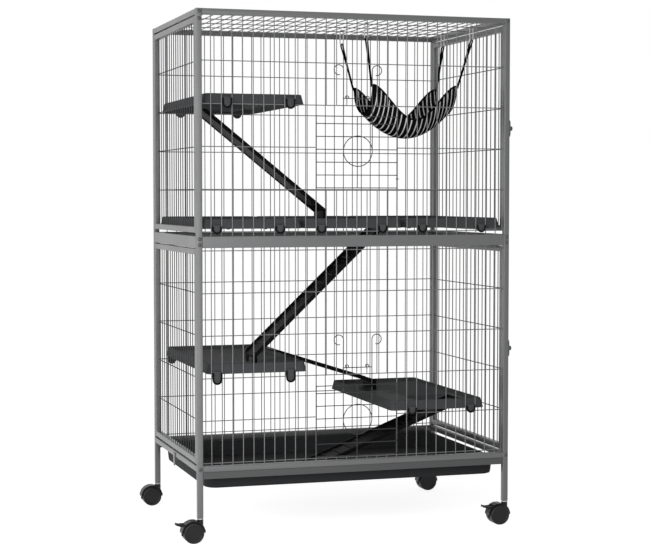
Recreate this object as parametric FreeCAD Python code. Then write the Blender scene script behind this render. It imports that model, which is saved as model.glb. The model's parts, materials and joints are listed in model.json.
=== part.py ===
import FreeCAD, Part
import math
import os

V = FreeCAD.Vector
X, Y, Z = V(1, 0, 0), V(0, 1, 0), V(0, 0, 1)

# Frame: square tube, X is the width, Y the depth (front is -Y), Z is up from the floor
WIDTH = 800.0
DEPTH = 525.0
HEIGHT = 1268.0
TUBE = 14.0
TUBE_WALL = 1.0
MID_RAIL_HEIGHT = 28.0
MID_RAIL_SHARE = 0.5544
BASE_RAIL_Z = 168.0
CASTER_HEADROOM = 8.0

# Round forms are faceted: sides of bars, of screws, of wheels and hoods, and steps of a moulded corner
ROUND_SIDES = 10
SCREW_SIDES = 6
WHEEL_SIDES = 16
CORNER_STEPS = 2

# Welded mesh: six-sided wire, flat to flat size, and the grid's two pitches
MESH_WIRE = 2.4
MESH_SIDES = 6
UPRIGHT_PITCH = 26.0
CROSS_PITCH = 101.6
UPPER_CROSS_GAP = 9.4
LOWER_CROSS_GAP = 6.0
CROSS_EDGE_GAP = 6.0
MESH_EDGE_GAP = 3.0
MESH_SINK_SHARE = 0.4

# Framed side panels: two fixed on the left, two hinged as doors on the right
UPPER_PANEL_FOOT_GAP = 8.0
UPPER_PANEL_TOP_GAP = 3.5
LOWER_PANEL_FOOT_GAP = 5.0
LOWER_PANEL_TOP_GAP = 2.0
PANEL_SEAT_GAP = 0.3
SIDE_DOOR_HINGE_GAP = 3.3
SIDE_DOOR_FREE_GAP = 2.0
STILE_PLUG = 14.0
HINGE_PIN_R = 2.5
HINGE_PIN_DEPTH = 10.0
RUNNING_FIT = 0.05

# Turn buttons that hold the side doors, on the outside of the front right post
BUTTON_LENGTH = 42.6
BUTTON_WIDTH = 13.0
BUTTON_PLATE = 2.2
BUTTON_GAP = 0.3
BUTTON_KNOB_R = 6.8
BUTTON_KNOB_HEIGHT = 6.0
BUTTON_TAPER_SHARE = 0.85
BUTTON_PIN_R = 2.0
BUTTON_PIN_DEPTH = 6.0

# Small front doors: round spring wire in front of the mesh, hinged on a mesh upright
DOOR_WIRE = 2.2
DOOR_SIDES = 6
DOOR_CELLS = 8
DOOR_OPENING_CELLS = 2
DOOR_RISE = 4.0
DOOR_HEIGHT = 173.0
DOOR_BAR_PITCH = 31.0
DOOR_RING_R = 36.6
DOOR_RING_Z = 89.0
DOOR_CLEAR = 0.35
HINGE_EYE_INSET = 22.0
HINGE_STILE_INSET = 2.0
UPRIGHT_STOP = 3.0
RING_SIDES = 12
EYE_SIDES = 6

# Sliding latch above each small door
LATCH_GAP = 1.4
LATCH_BAR_RISE = 17.0
LATCH_HEIGHT = 121.0
LATCH_CURL_R = 12.0
LATCH_CURL_TURN = 285.0
CURL_STEPS = 9
LATCH_JOIN = 0.2
LATCH_EYE_GAP = 0.4

# Pull-out tray, its runners and its pull tab
TRAY_LEFT_GAP = 2.0
TRAY_RIGHT_GAP = 2.0
TRAY_HEIGHT = 40.0
TRAY_TOP_DROP = 3.7
TRAY_WALL = 2.5
TRAY_LIP = 7.5
TRAY_DRAFT = 4.0
TRAY_CORNER_R = 30.0
TRAY_SIDE_GAP = 1.0
RUNNER_HEIGHT = 16.0
RUNNER_SHEET = 1.5
RUNNER_SEAT_GAP = 0.3
TAB_WIDTH = 16.0
TAB_HEIGHT = 34.0
TAB_SHEET = 2.0

# Plastic platforms that hook over the mesh's cross wires
MID_SHELF_LEFT_GAP = 6.0
MID_SHELF_GAPS = (19.0, 21.0)
MID_SHELF_RIGHT_GAP = 10.0
TOP_SHELF_GAP = 12.0
LOWER_SHELF_GAP = 19.0
RIGHT_SHELF_GAP = 51.0
SHELF_MESH_GAP = 2.3
SHELF_HEIGHT = 24.0
SHELF_FLARE = 5.0
SHELF_WALL = 3.0
SHELF_RIM = 9.0
SHELF_CORNER_R = 12.0
HOOK_WIDTH = 20.0
HOOK_WEB = 3.5
HOOK_SHEET = 3.0
HOOK_CLEAR = 0.4
HOOK_FACE_INSET = 0.3
HOOK_UP_SHARE = 0.3
HOOK_ROOT_SHARE = 0.6
HOOK_SPAN_SHARE = 0.68
WIDE_HOOK_SPAN_SHARE = 0.8

# Ramps: moulded channel with treads, a hooked head and an upright foot
RAMP_WIDTH = 94.0
RAMP_SIDE_HEIGHT = 10.0
RAMP_FLOOR_DROP = 5.0
RAMP_SHEET = 3.0
RAMP_TREAD = 2.0
RAMP_TREAD_PITCH = 32.0
RAMP_FOOT_LENGTH = 6.0
RAMP_FOOT_HEIGHT = 28.0
RAMP_LEG = 24.0
RAMP_NOTCH = 13.0
RAMP_TONGUE = 12.0
RAMP_GAP = 0.3
RAMP_FOOT_GAP = 1.5
RAMP_HEAD_GAP = 0.5
HOLE_LENGTH = 116.0
HOLE_WIDTH = 138.0
HOLE_CORNER_R = 20.0

# Hammock, its webbing straps and the plastic rings on the roof mesh
BED_OFFSET_X = -3.0
BED_CENTRE_Y = 5.0
BED_LENGTH = 232.0
BED_WIDTH = 160.0
BED_CORNER_SHARE = 0.2887
BED_EDGE_SAG_SHARE = 0.1702
BED_END_SAG_SHARE = 0.1377
BED_MIDDLE_SAG_SHARE = 0.088
BED_CLOTH = 4.0
BED_SECTIONS = 9
BED_STRIPS = 6
RING_HEIGHT = 43.0
RING_WIDTH = 12.0
RING_BAR = 3.0
RING_DEPTH = 4.0
RING_GAP = 0.3
RING_EDGE_CELLS = 0
RING_SPAN_CELLS = 11
RING_FRONT_Y = -95.0
RING_BACK_Y = 110.0
STRAP_WIDTH = 10.0
STRAP_SHEET = 1.6
STRAP_GAP = 0.3
STRAP_LAP = 5.0

# Twin-wheel casters
WHEEL_R = 25.0
WHEEL_WIDTH = 16.5
WHEEL_RIM_R = 3.0
WHEEL_DISH = 2.5
WHEEL_DISH_R = 17.0
CASTER_TRAIL = 18.0
HOOD_WEB = 6.0
HOOD_GAP = 1.2
HOOD_SHEET = 2.6
HOOD_WIDTH = 27.0
AXLE_R = 3.0
STEM_R = 4.0
STEM_BOSS_R = 8.0
STEM_LENGTH = 24.0
SLEEVE_FLANGE = 2.4
SLEEVE_DEPTH = 28.0
SWIVEL_GAP = 0.4
LEVER_WIDTH = 16.0
LEVER_REACH = 11.0
LEVER_SHEET = 5.0
LEVER_BARREL_R = 2.8
LEVER_PIN_R = 1.5
LEVER_EAR = 2.5
LEVER_PIVOT_RISE = 19.0
LEVER_TILT_DEG = 18.0
LEVER_EAR_SHARE = 0.75

# Screws through the posts into the side rails
SCREW_HEAD_R = 5.0
SCREW_HEAD_HEIGHT = 2.4
SCREW_CROWN_SHARE = 0.6
SCREW_R = 2.0
SCREW_HOLE_R = 2.3
SCREW_LENGTH = 12.0
MID_SCREW_SHARES = (0.25, 0.75)

# One overrun serves every cut
OVERRUN = 1.0

# Places worked out from the sizes above
HALF_W = WIDTH / 2
HALF_D = DEPTH / 2
IN_W = HALF_W - TUBE
IN_D = HALF_D - TUBE
POST_X = HALF_W - TUBE / 2
POST_Y = HALF_D - TUBE / 2
POST_FOOT_Z = 2 * WHEEL_R + CASTER_HEADROOM
TOP_RAIL_Z = HEIGHT - TUBE
MID_RAIL_Z = HEIGHT * MID_RAIL_SHARE
MID_RAIL_TOP_Z = MID_RAIL_Z + MID_RAIL_HEIGHT
BASE_RAIL_TOP_Z = BASE_RAIL_Z + TUBE
UPRIGHT_COUNT = 2 * int((IN_W - MESH_EDGE_GAP) / UPRIGHT_PITCH) + 1
MESH_Y = HALF_D - TUBE * MESH_SINK_SHARE
ROOF_Z = HEIGHT - TUBE / 2
UPPER_CROSS_Z = MID_RAIL_TOP_Z + UPPER_CROSS_GAP
LOWER_CROSS_Z = BASE_RAIL_TOP_Z + LOWER_CROSS_GAP
UPPER_CROSSES = 1 + int((TOP_RAIL_Z - CROSS_EDGE_GAP - UPPER_CROSS_Z) / CROSS_PITCH)
LOWER_CROSSES = 1 + int((MID_RAIL_Z - CROSS_EDGE_GAP - LOWER_CROSS_Z) / CROSS_PITCH)
UPPER_PANEL_Z = MID_RAIL_TOP_Z + UPPER_PANEL_FOOT_GAP
UPPER_PANEL_TOP_Z = TOP_RAIL_Z - UPPER_PANEL_TOP_GAP
LOWER_PANEL_Z = BASE_RAIL_TOP_Z + LOWER_PANEL_FOOT_GAP
LOWER_PANEL_TOP_Z = MID_RAIL_Z - LOWER_PANEL_TOP_GAP
JAMB_X = DOOR_CELLS / 2 * UPRIGHT_PITCH
UPPER_DOOR_SILL = UPPER_CROSS_Z + CROSS_PITCH
LOWER_DOOR_SILL = LOWER_CROSS_Z
DOOR_OPENING = DOOR_OPENING_CELLS * CROSS_PITCH
DOOR_STILE_Y = -MESH_Y - MESH_WIRE / 2 - DOOR_CLEAR - DOOR_WIRE / 2
DOOR_BAR_Y = DOOR_STILE_Y - DOOR_WIRE
DOOR_RING_Y = DOOR_BAR_Y - DOOR_WIRE
LATCH_Y = DOOR_RING_Y - DOOR_CLEAR
LATCH_BAR_Y = LATCH_Y + DOOR_WIRE - LATCH_JOIN
TRAY_TOP_Z = BASE_RAIL_Z - TRAY_TOP_DROP
TRAY_FLOOR_Z = TRAY_TOP_Z - TRAY_HEIGHT + TRAY_WALL
TRAY_HALF_D = IN_D - TRAY_SIDE_GAP
TRAY_LEFT_X = -IN_W + TRAY_LEFT_GAP
TRAY_RIGHT_X = IN_W - TRAY_RIGHT_GAP
LEVER_PIVOT_Z = WHEEL_R + LEVER_PIVOT_RISE

# Platforms: centre X, wire they hang on, rise of the wall over that wire, hook places, hole
MID_WIRE_Z = UPPER_CROSS_Z
TOP_WIRE_ROWS = 3
LOWER_LEFT_ROWS = 2
LOWER_RIGHT_ROWS = 1
TOP_WIRE_Z = UPPER_CROSS_Z + TOP_WIRE_ROWS * CROSS_PITCH
LOWER_LEFT_WIRE_Z = LOWER_CROSS_Z + LOWER_LEFT_ROWS * CROSS_PITCH
LOWER_RIGHT_WIRE_Z = LOWER_CROSS_Z + LOWER_RIGHT_ROWS * CROSS_PITCH
MID_SHELVES_WIDTH = 2 * IN_W - MID_SHELF_LEFT_GAP - sum(MID_SHELF_GAPS) - MID_SHELF_RIGHT_GAP
SHELF_WIDTH = MID_SHELVES_WIDTH / (len(MID_SHELF_GAPS) + 1)
SHELF_DEPTH = 2 * (MESH_Y - MESH_WIRE - MESH_WIRE / 2 - SHELF_MESH_GAP - SHELF_FLARE)
MID_LEFT_X = -IN_W + MID_SHELF_LEFT_GAP + SHELF_WIDTH / 2
MID_CENTRE_X = MID_LEFT_X + SHELF_WIDTH + MID_SHELF_GAPS[0]
MID_RIGHT_X = MID_CENTRE_X + SHELF_WIDTH + MID_SHELF_GAPS[1]
TOP_LEFT_X = -IN_W + TOP_SHELF_GAP + SHELF_WIDTH / 2
LOWER_LEFT_X = -IN_W + LOWER_SHELF_GAP + SHELF_WIDTH / 2
LOWER_RIGHT_X = IN_W - RIGHT_SHELF_GAP - SHELF_WIDTH / 2
HOOK_CELLS = int(SHELF_WIDTH * HOOK_SPAN_SHARE / UPRIGHT_PITCH)
WIDE_HOOK_CELLS = int(SHELF_WIDTH * WIDE_HOOK_SPAN_SHARE / UPRIGHT_PITCH)
TOP_RISE = 1.0
MID_RISE = 7.6
LOWER_LEFT_RISE = 9.8
LOWER_RIGHT_RISE = 6.4
SHORT_HOOK_DROP = 3.0
LONG_HOOK_DROP = 13.0
SHELF_WALL_MARGIN = 19.0

# Ramps: places across the depth, heads and feet, as shares of the platforms they lean on
BACK_RAMP_SHARE = 0.2033
FRONT_RAMP_SHARE = 0.305
TOP_HEAD_SHARE = 0.285
TOP_FOOT_SHARE = 0.088
MID_FOOT_SHARE = 0.025
CROSS_FOOT_SHARE = 0.246
TRAY_HEAD_SHARE = 0.354
TRAY_FOOT_SHARE = 0.592
BACK_RAMP_Y = SHELF_DEPTH * BACK_RAMP_SHARE
FRONT_RAMP_Y = -SHELF_DEPTH * FRONT_RAMP_SHARE
TOP_RAMP_HEAD_X = TOP_LEFT_X - SHELF_WIDTH * TOP_HEAD_SHARE
TOP_RAMP_FOOT_X = MID_CENTRE_X + SHELF_WIDTH * TOP_FOOT_SHARE
MID_RAMP_HEAD_X = MID_CENTRE_X + SHELF_WIDTH / 2 - SHELF_WALL_MARGIN
MID_RAMP_FOOT_X = LOWER_LEFT_X + SHELF_WIDTH * MID_FOOT_SHARE
CROSS_RAMP_FOOT_X = LOWER_RIGHT_X - SHELF_WIDTH * CROSS_FOOT_SHARE
TRAY_RAMP_HEAD_X = LOWER_RIGHT_X + SHELF_WIDTH * TRAY_HEAD_SHARE
TRAY_RAMP_FOOT_X = LOWER_LEFT_X + SHELF_WIDTH * TRAY_FOOT_SHARE

# Hammock: the roof wires its rings hang on, and the drops of its cloth in the upper storey
RING_RIGHT_CELL = UPRIGHT_COUNT // 2 - RING_EDGE_CELLS
RING_LEFT_CELL = RING_RIGHT_CELL - RING_SPAN_CELLS
BED_CENTRE_X = (RING_LEFT_CELL + RING_RIGHT_CELL) / 2 * UPRIGHT_PITCH + BED_OFFSET_X
UPPER_STOREY = TOP_RAIL_Z - MID_RAIL_TOP_Z
BED_CORNER_Z = ROOF_Z - UPPER_STOREY * BED_CORNER_SHARE
BED_EDGE_SAG = UPPER_STOREY * BED_EDGE_SAG_SHARE
BED_END_SAG = UPPER_STOREY * BED_END_SAG_SHARE
BED_MIDDLE_SAG = UPPER_STOREY * BED_MIDDLE_SAG_SHARE


def box(x0, x1, y0, y1, z0, z1):
    """Block between two corners."""
    return Part.makeBox(x1 - x0, y1 - y0, z1 - z0, V(x0, y0, z0))


def ring_points(centre, axis, radius, sides):
    """Corners of a regular polygon round an axis, with flats square to the main axes."""
    u = V(0, 0, 1) if abs(axis.z) < abs(axis.x) + abs(axis.y) else V(1, 0, 0)
    v = axis.cross(u)
    points = []
    for k in range(sides):
        a = math.pi * (2 * k + 1) / sides
        points.append(centre + u * (radius * math.cos(a)) + v * (radius * math.sin(a)))
    return points


def cyl(radius, start, axis, length, sides=ROUND_SIDES):
    """Faceted round bar from a start point along a unit axis, its corners on the radius."""
    points = ring_points(start, axis, radius, sides)
    return Part.Face(Part.makePolygon(points + points[:1])).extrude(axis * length)


def bore(radius, start, axis, length, sides=ROUND_SIDES):
    """Faceted round hole, its flats on the radius, so that a bar of that radius turns in it."""
    return cyl(radius / math.cos(math.pi / sides), start, axis, length, sides)


def skin(rings, closed, twisted=False):
    """Solid with flat faces between matching rings of points, in triangles where the rings are twisted."""
    count = len(rings)
    sides = len(rings[0])
    faces = []
    for k in range(count if closed else count - 1):
        a, b = rings[k], rings[(k + 1) % count]
        for j in range(sides):
            i = (j + 1) % sides
            loops = ([a[j], a[i], b[i], a[j]], [a[j], b[i], b[j], a[j]])
            for loop in loops if twisted else ([a[j], a[i], b[i], b[j], a[j]],):
                faces.append(Part.Face(Part.makePolygon(loop)))
    if not closed:
        for end in (rings[0], rings[-1]):
            faces.append(Part.Face(Part.makePolygon(end + end[:1])))
    shell = Part.Shell(faces)
    shell.sewShape()
    solid = Part.Solid(shell)
    if solid.Volume < 0:
        solid.reverse()
    return solid


def cone(low, high, start, axis, length, sides=ROUND_SIDES):
    """Faceted taper between two radii."""
    return skin([ring_points(start, axis, low, sides), ring_points(start + axis * length, axis, high, sides)], False)


def fuse(shapes):
    """One clean solid from overlapping pieces."""
    out = shapes[0].multiFuse(shapes[1:]) if len(shapes) > 1 else shapes[0]
    return out.removeSplitter()


def group(shapes):
    """Separate solids kept together in one node."""
    return Part.makeCompound(shapes)


def tube(lo, hi, axis):
    """Square tube with open ends between two corners, hollow along the given axis."""
    outer = box(lo[0], hi[0], lo[1], hi[1], lo[2], hi[2])
    low = [v + TUBE_WALL for v in lo]
    high = [v - TUBE_WALL for v in hi]
    low[axis] = lo[axis] - OVERRUN
    high[axis] = hi[axis] + OVERRUN
    return outer.cut(box(low[0], high[0], low[1], high[1], low[2], high[2]))


def wire(start, along, length, facing, size=MESH_WIRE, sides=MESH_SIDES):
    """Straight wire with two flats square to the facing direction, where it is welded to others."""
    radius = size / 2 / math.cos(math.pi / sides)
    across = along.cross(facing)
    points = []
    for k in range(sides):
        a = math.pi * (2 * k + 1) / sides
        points.append(start + facing * (radius * math.cos(a)) + across * (radius * math.sin(a)))
    return Part.Face(Part.makePolygon(points + points[:1])).extrude(along * length)


def door_wire(start, along, length):
    """Straight stretch of the small doors' wire."""
    return wire(start, along, length, Y, DOOR_WIRE)


def rounded(x0, x1, y0, y1, z, radius):
    """Corner points of a rectangle with round corners at one height."""
    points = []
    for quarter, (cx, cy) in enumerate(((x1 - radius, y1 - radius), (x0 + radius, y1 - radius),
                                        (x0 + radius, y0 + radius), (x1 - radius, y0 + radius))):
        for k in range(CORNER_STEPS + 1):
            a = math.pi / 2 * (quarter + k / CORNER_STEPS)
            points.append(V(cx + radius * math.cos(a), cy + radius * math.sin(a), z))
    return points


def frustum(x0, x1, y0, y1, z0, z1, radius, grow):
    """Moulded block with round corners that is wider by grow on each side at the bottom."""
    low = rounded(x0 - grow, x1 + grow, y0 - grow, y1 + grow, z0, radius)
    high = rounded(x0, x1, y0, y1, z1, radius)
    return skin([low, high], False)


def prism_xz(points, y0, y1):
    """Side profile in the XZ plane, extruded across the depth."""
    ring = [V(x, y0, z) for x, z in points]
    return Part.Face(Part.makePolygon(ring + ring[:1])).extrude(V(0, y1 - y0, 0))


def bent_wire(points, flat, closed=False):
    """Door wire along a flat path, with mitred bends; flat is the normal of the path's plane."""
    radius = DOOR_WIRE / 2 / math.cos(math.pi / DOOR_SIDES)
    count = len(points)
    steps = [(points[(k + 1) % count] - points[k]).normalize() for k in range(count)]
    rings = []
    for k, point in enumerate(points):
        ahead = steps[k] if closed or k < count - 1 else steps[k - 1]
        behind = steps[k - 1] if closed or k > 0 else steps[k]
        mitre = (ahead + behind).normalize()
        side = flat.cross(ahead)
        ring = []
        for j in range(DOOR_SIDES):
            a = math.pi * (2 * j + 1) / DOOR_SIDES
            out = flat * (radius * math.cos(a)) + side * (radius * math.sin(a))
            ring.append(point + out - ahead * (out.dot(mitre) / ahead.dot(mitre)))
        rings.append(ring)
    return skin(rings, closed)


def wire_ring(centre, radius, normal, along, sides):
    """Closed ring of door wire; the radius is to the middle of its straight stretches."""
    across = normal.cross(along)
    reach = radius / math.cos(math.pi / sides)
    points = []
    for k in range(sides):
        a = math.pi * (2 * k + 1) / sides
        points.append(centre + (along * math.cos(a) + across * math.sin(a)) * reach)
    return bent_wire(points, normal, True)


def posts():
    """Four corner posts with screw holes, and pivot holes for the turn buttons."""
    out = {}
    for name, sx, sy in (("front_left_post", -1, -1), ("front_right_post", 1, -1),
                         ("back_left_post", -1, 1), ("back_right_post", 1, 1)):
        x, y = sx * POST_X, sy * POST_Y
        half = TUBE / 2
        post = tube((x - half, y - half, POST_FOOT_Z), (x + half, y + half, HEIGHT), 2)
        post = post.fuse(box(x - half, x + half, y - half, y + half, HEIGHT - TUBE_WALL, HEIGHT)).removeSplitter()
        for z in screw_heights(sx):
            hole_start = V(x, y + sy * (half + OVERRUN), z)
            post = post.cut(bore(SCREW_HOLE_R, hole_start, Y * -sy, TUBE_WALL + 2 * OVERRUN, SCREW_SIDES))
        if name == "front_right_post":
            for z in button_heights():
                hole_start = V(x + half + OVERRUN, y, z)
                radius = BUTTON_PIN_R + RUNNING_FIT
                post = post.cut(bore(radius, hole_start, -X, TUBE_WALL + 2 * OVERRUN))
        out[name] = post
    return out


def screw_heights(side):
    """Screw heights on a post: side rails, and the fixed panel on the left."""
    heights = [BASE_RAIL_Z + TUBE / 2]
    heights += [MID_RAIL_Z + share * MID_RAIL_HEIGHT for share in MID_SCREW_SHARES]
    if side < 0:
        heights.append(UPPER_PANEL_TOP_Z - TUBE / 2)
    heights.append(TOP_RAIL_Z + TUBE / 2)
    return heights


def button_heights():
    """Mid-heights of the two side doors."""
    upper = (UPPER_PANEL_Z + UPPER_PANEL_TOP_Z) / 2
    lower = (LOWER_PANEL_Z + LOWER_PANEL_TOP_Z) / 2
    return (upper, lower)


def frame_screws():
    """Domed screws on the outer faces of the posts, one node."""
    screws = []
    for sx in (-1, 1):
        for sy in (-1, 1):
            for z in screw_heights(sx):
                seat = V(sx * POST_X, sy * HALF_D, z)
                out = Y * sy
                head = cone(SCREW_HEAD_R, SCREW_HEAD_R * SCREW_CROWN_SHARE, seat, out, SCREW_HEAD_HEIGHT,
                            SCREW_SIDES)
                shank = cyl(SCREW_R, seat + out * (SCREW_HEAD_HEIGHT / 2), -out,
                            SCREW_LENGTH + SCREW_HEAD_HEIGHT / 2, SCREW_SIDES)
                screws.append(fuse([head, shank]))
    return group(screws)


def rails():
    """Front and back rails between the posts, and the side rails."""
    out = {}
    heights = (("top", TOP_RAIL_Z, HEIGHT), ("mid", MID_RAIL_Z, MID_RAIL_TOP_Z),
               ("bottom", BASE_RAIL_Z, BASE_RAIL_TOP_Z))
    for level, z0, z1 in heights:
        out["front_%s_rail" % level] = tube((-IN_W, -HALF_D, z0), (IN_W, -IN_D, z1), 0)
        out["back_%s_rail" % level] = tube((-IN_W, IN_D, z0), (IN_W, HALF_D, z1), 0)
    sides = {}
    for level, z0, z1 in heights:
        sides[level] = [tube((-HALF_W, -IN_D, z0), (-IN_W, IN_D, z1), 1),
                        tube((IN_W, -IN_D, z0), (HALF_W, IN_D, z1), 1)]
    out["side_rails"] = group(sides["top"] + sides["bottom"])
    out["side_mid_rails"] = group(sides["mid"])
    return out


def upright_places():
    """X of each mesh upright, centred on the width."""
    half = UPRIGHT_COUNT // 2
    return [k * UPRIGHT_PITCH for k in range(-half, half + 1)]


def flat_mesh(y, inward, z0, z1, cross_z, crosses, sill=None):
    """Front or back mesh: uprights outside, cross wires inside, with a door opening if asked."""
    wires = []
    half = MESH_WIRE / 2
    top = None if sill is None else sill + DOOR_OPENING
    for x in upright_places():
        if sill is not None and abs(x) < JAMB_X - UPRIGHT_PITCH / 2:
            spans = ((z0, sill + half), (top - half, z1))
        else:
            spans = ((z0, z1),)
        for a, b in spans:
            wires.append(wire(V(x, y, a), Z, b - a, Y))
    cross_y = y + inward * MESH_WIRE
    for k in range(crosses):
        z = cross_z + k * CROSS_PITCH
        if sill is not None and sill + half < z < top - half:
            end = JAMB_X + half
            spans = ((-IN_W, -end), (end, IN_W))
        else:
            spans = ((-IN_W, IN_W),)
        for a, b in spans:
            wires.append(wire(V(a, cross_y, z), X, b - a, Y))
    return group(wires)


def roof_mesh():
    """Roof grid between the top rails."""
    half = MESH_WIRE / 2
    wires = [wire(V(x, -IN_D, ROOF_Z + half), Y, 2 * IN_D, Z) for x in upright_places()]
    count = int(IN_D / CROSS_PITCH)
    for k in range(-count, count + 1):
        wires.append(wire(V(-IN_W, k * CROSS_PITCH, ROOF_Z - half), X, 2 * IN_W, Z))
    return group(wires)


def side_panel(side, y0, y1, z0, z1, cross_z, hinged):
    """Framed mesh panel: two stiles, two rails, welded grid; a hinged one has plugged, bored ends."""
    x0, x1 = sorted((side * HALF_W, side * IN_W))
    mid_x = side * POST_X
    stiles = []
    for a in (y0, y1 - TUBE):
        stile = tube((x0, a, z0), (x1, a + TUBE, z1), 2)
        if hinged and a > y0:
            plug = TUBE - 2 * TUBE_WALL
            for z, way in ((z0, 1), (z1, -1)):
                block = box(mid_x - plug / 2, mid_x + plug / 2, a + TUBE_WALL, a + TUBE - TUBE_WALL,
                            min(z, z + way * STILE_PLUG), max(z, z + way * STILE_PLUG))
                socket = bore(HINGE_PIN_R + RUNNING_FIT, V(mid_x, a + TUBE / 2, z - way * OVERRUN),
                              Z * way, HINGE_PIN_DEPTH + OVERRUN)
                stile = stile.fuse(block.cut(socket))
            stile = stile.removeSplitter()
        stiles.append(stile)
    inner0, inner1 = y0 + TUBE, y1 - TUBE
    bars = [tube((x0, inner0, z0), (x1, inner1, z0 + TUBE), 1),
            tube((x0, inner0, z1 - TUBE), (x1, inner1, z1), 1)]
    wires = []
    centre = (inner0 + inner1) / 2
    half = int((inner1 - inner0 - 2 * MESH_EDGE_GAP) / 2 / UPRIGHT_PITCH)
    for k in range(-half, half + 1):
        wires.append(wire(V(mid_x, centre + k * UPRIGHT_PITCH, z0 + TUBE), Z, z1 - z0 - 2 * TUBE, X))
    z = cross_z
    while z < z1 - TUBE - MESH_WIRE:
        if z > z0 + TUBE + MESH_WIRE:
            wires.append(wire(V(mid_x - side * MESH_WIRE, inner0, z), Y, inner1 - inner0, X))
        z += CROSS_PITCH
    return group(stiles + bars + wires)


def side_door_span():
    """Front and back edges of a side door."""
    return -IN_D + SIDE_DOOR_FREE_GAP, IN_D - SIDE_DOOR_HINGE_GAP


def side_door_axis():
    """X and Y of the side doors' hinge line, the middle of the back stile."""
    return POST_X, side_door_span()[1] - TUBE / 2


def side_panels():
    """Two fixed panels on the left, two hinged doors on the right, and the doors' pivot pins."""
    y0, y1 = -IN_D + PANEL_SEAT_GAP, IN_D - PANEL_SEAT_GAP
    d0, d1 = side_door_span()
    upper = (UPPER_PANEL_Z, UPPER_PANEL_TOP_Z, UPPER_CROSS_Z)
    lower = (LOWER_PANEL_Z, LOWER_PANEL_TOP_Z, LOWER_CROSS_Z)
    out = {"upper_left_panel": side_panel(-1, y0, y1, *upper, False),
           "lower_left_panel": side_panel(-1, y0, y1, *lower, False),
           "upper_side_door": side_panel(1, d0, d1, *upper, True),
           "lower_side_door": side_panel(1, d0, d1, *lower, True)}
    x, y = side_door_axis()
    pins = []
    grip = HINGE_PIN_DEPTH - OVERRUN
    for low, high, seat_low, seat_high in ((UPPER_PANEL_Z, UPPER_PANEL_TOP_Z, MID_RAIL_TOP_Z, TOP_RAIL_Z),
                                           (LOWER_PANEL_Z, LOWER_PANEL_TOP_Z, BASE_RAIL_TOP_Z, MID_RAIL_Z)):
        pins.append(cyl(HINGE_PIN_R, V(x, y, seat_low), Z, low + grip - seat_low))
        pins.append(cyl(HINGE_PIN_R, V(x, y, high - grip), Z, seat_high - high + grip))
    out["side_door_hinge_pins"] = group(pins)
    return out


def turn_button(z):
    """Upright turn plate with its knob, and a pin in the post's wall."""
    x0 = HALF_W + BUTTON_GAP
    y = -POST_Y
    r = BUTTON_WIDTH / 2
    half = BUTTON_LENGTH / 2 - r
    plate = box(x0, x0 + BUTTON_PLATE, y - r, y + r, z - half, z + half)
    for s in (-1, 1):
        plate = plate.fuse(cyl(r, V(x0, y, z + s * half), V(1, 0, 0), BUTTON_PLATE))
    knob = cone(BUTTON_KNOB_R, BUTTON_KNOB_R * BUTTON_TAPER_SHARE, V(x0 + BUTTON_PLATE, y, z), X,
                BUTTON_KNOB_HEIGHT)
    pin = cyl(BUTTON_PIN_R, V(x0 - BUTTON_PIN_DEPTH, y, z), V(1, 0, 0), BUTTON_PIN_DEPTH + BUTTON_PLATE)
    return fuse([plate, knob, pin])


def front_door(sill):
    """Small wire door: stiles and a centre wire, bars welded in front, hinge eyes and a ring."""
    z0 = sill + DOOR_RISE
    z1 = z0 + DOOR_HEIGHT
    r = DOOR_WIRE / 2
    parts = []
    for x in (-JAMB_X, 0.0):
        parts.append(door_wire(V(x, DOOR_STILE_Y, z0 - r), Z, DOOR_HEIGHT + DOOR_WIRE))
    hinge_x = JAMB_X - HINGE_STILE_INSET
    hinged = [door_wire(V(hinge_x, DOOR_STILE_Y, z0 - r), Z, DOOR_HEIGHT + DOOR_WIRE)]
    eye_r = -MESH_Y - DOOR_STILE_Y
    for z in (z0 + HINGE_EYE_INSET, z1 - HINGE_EYE_INSET):
        hinged.append(wire_ring(V(JAMB_X, -MESH_Y, z), eye_r, V(0, 0, 1), V(0, -1, 0), EYE_SIDES))
    parts.append(fuse(hinged))
    bars = [z0 + k * DOOR_BAR_PITCH for k in range(int(DOOR_HEIGHT / DOOR_BAR_PITCH) + 1)] + [z1]
    for z in bars:
        parts.append(door_wire(V(-JAMB_X - r, DOOR_BAR_Y, z), X, JAMB_X + hinge_x + DOOR_WIRE))
    centre = V(0, DOOR_RING_Y, z0 + DOOR_RING_Z)
    pull = [wire_ring(centre, DOOR_RING_R, V(0, 1, 0), V(1, 0, 0), RING_SIDES)]
    for s in (-1, 1):
        start = centre + V(s * DOOR_RING_R, 0, 0)
        pull.append(door_wire(start, Z, z1 - UPRIGHT_STOP - r - start.z))
    parts.append(fuse(pull))
    return group(parts)


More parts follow.
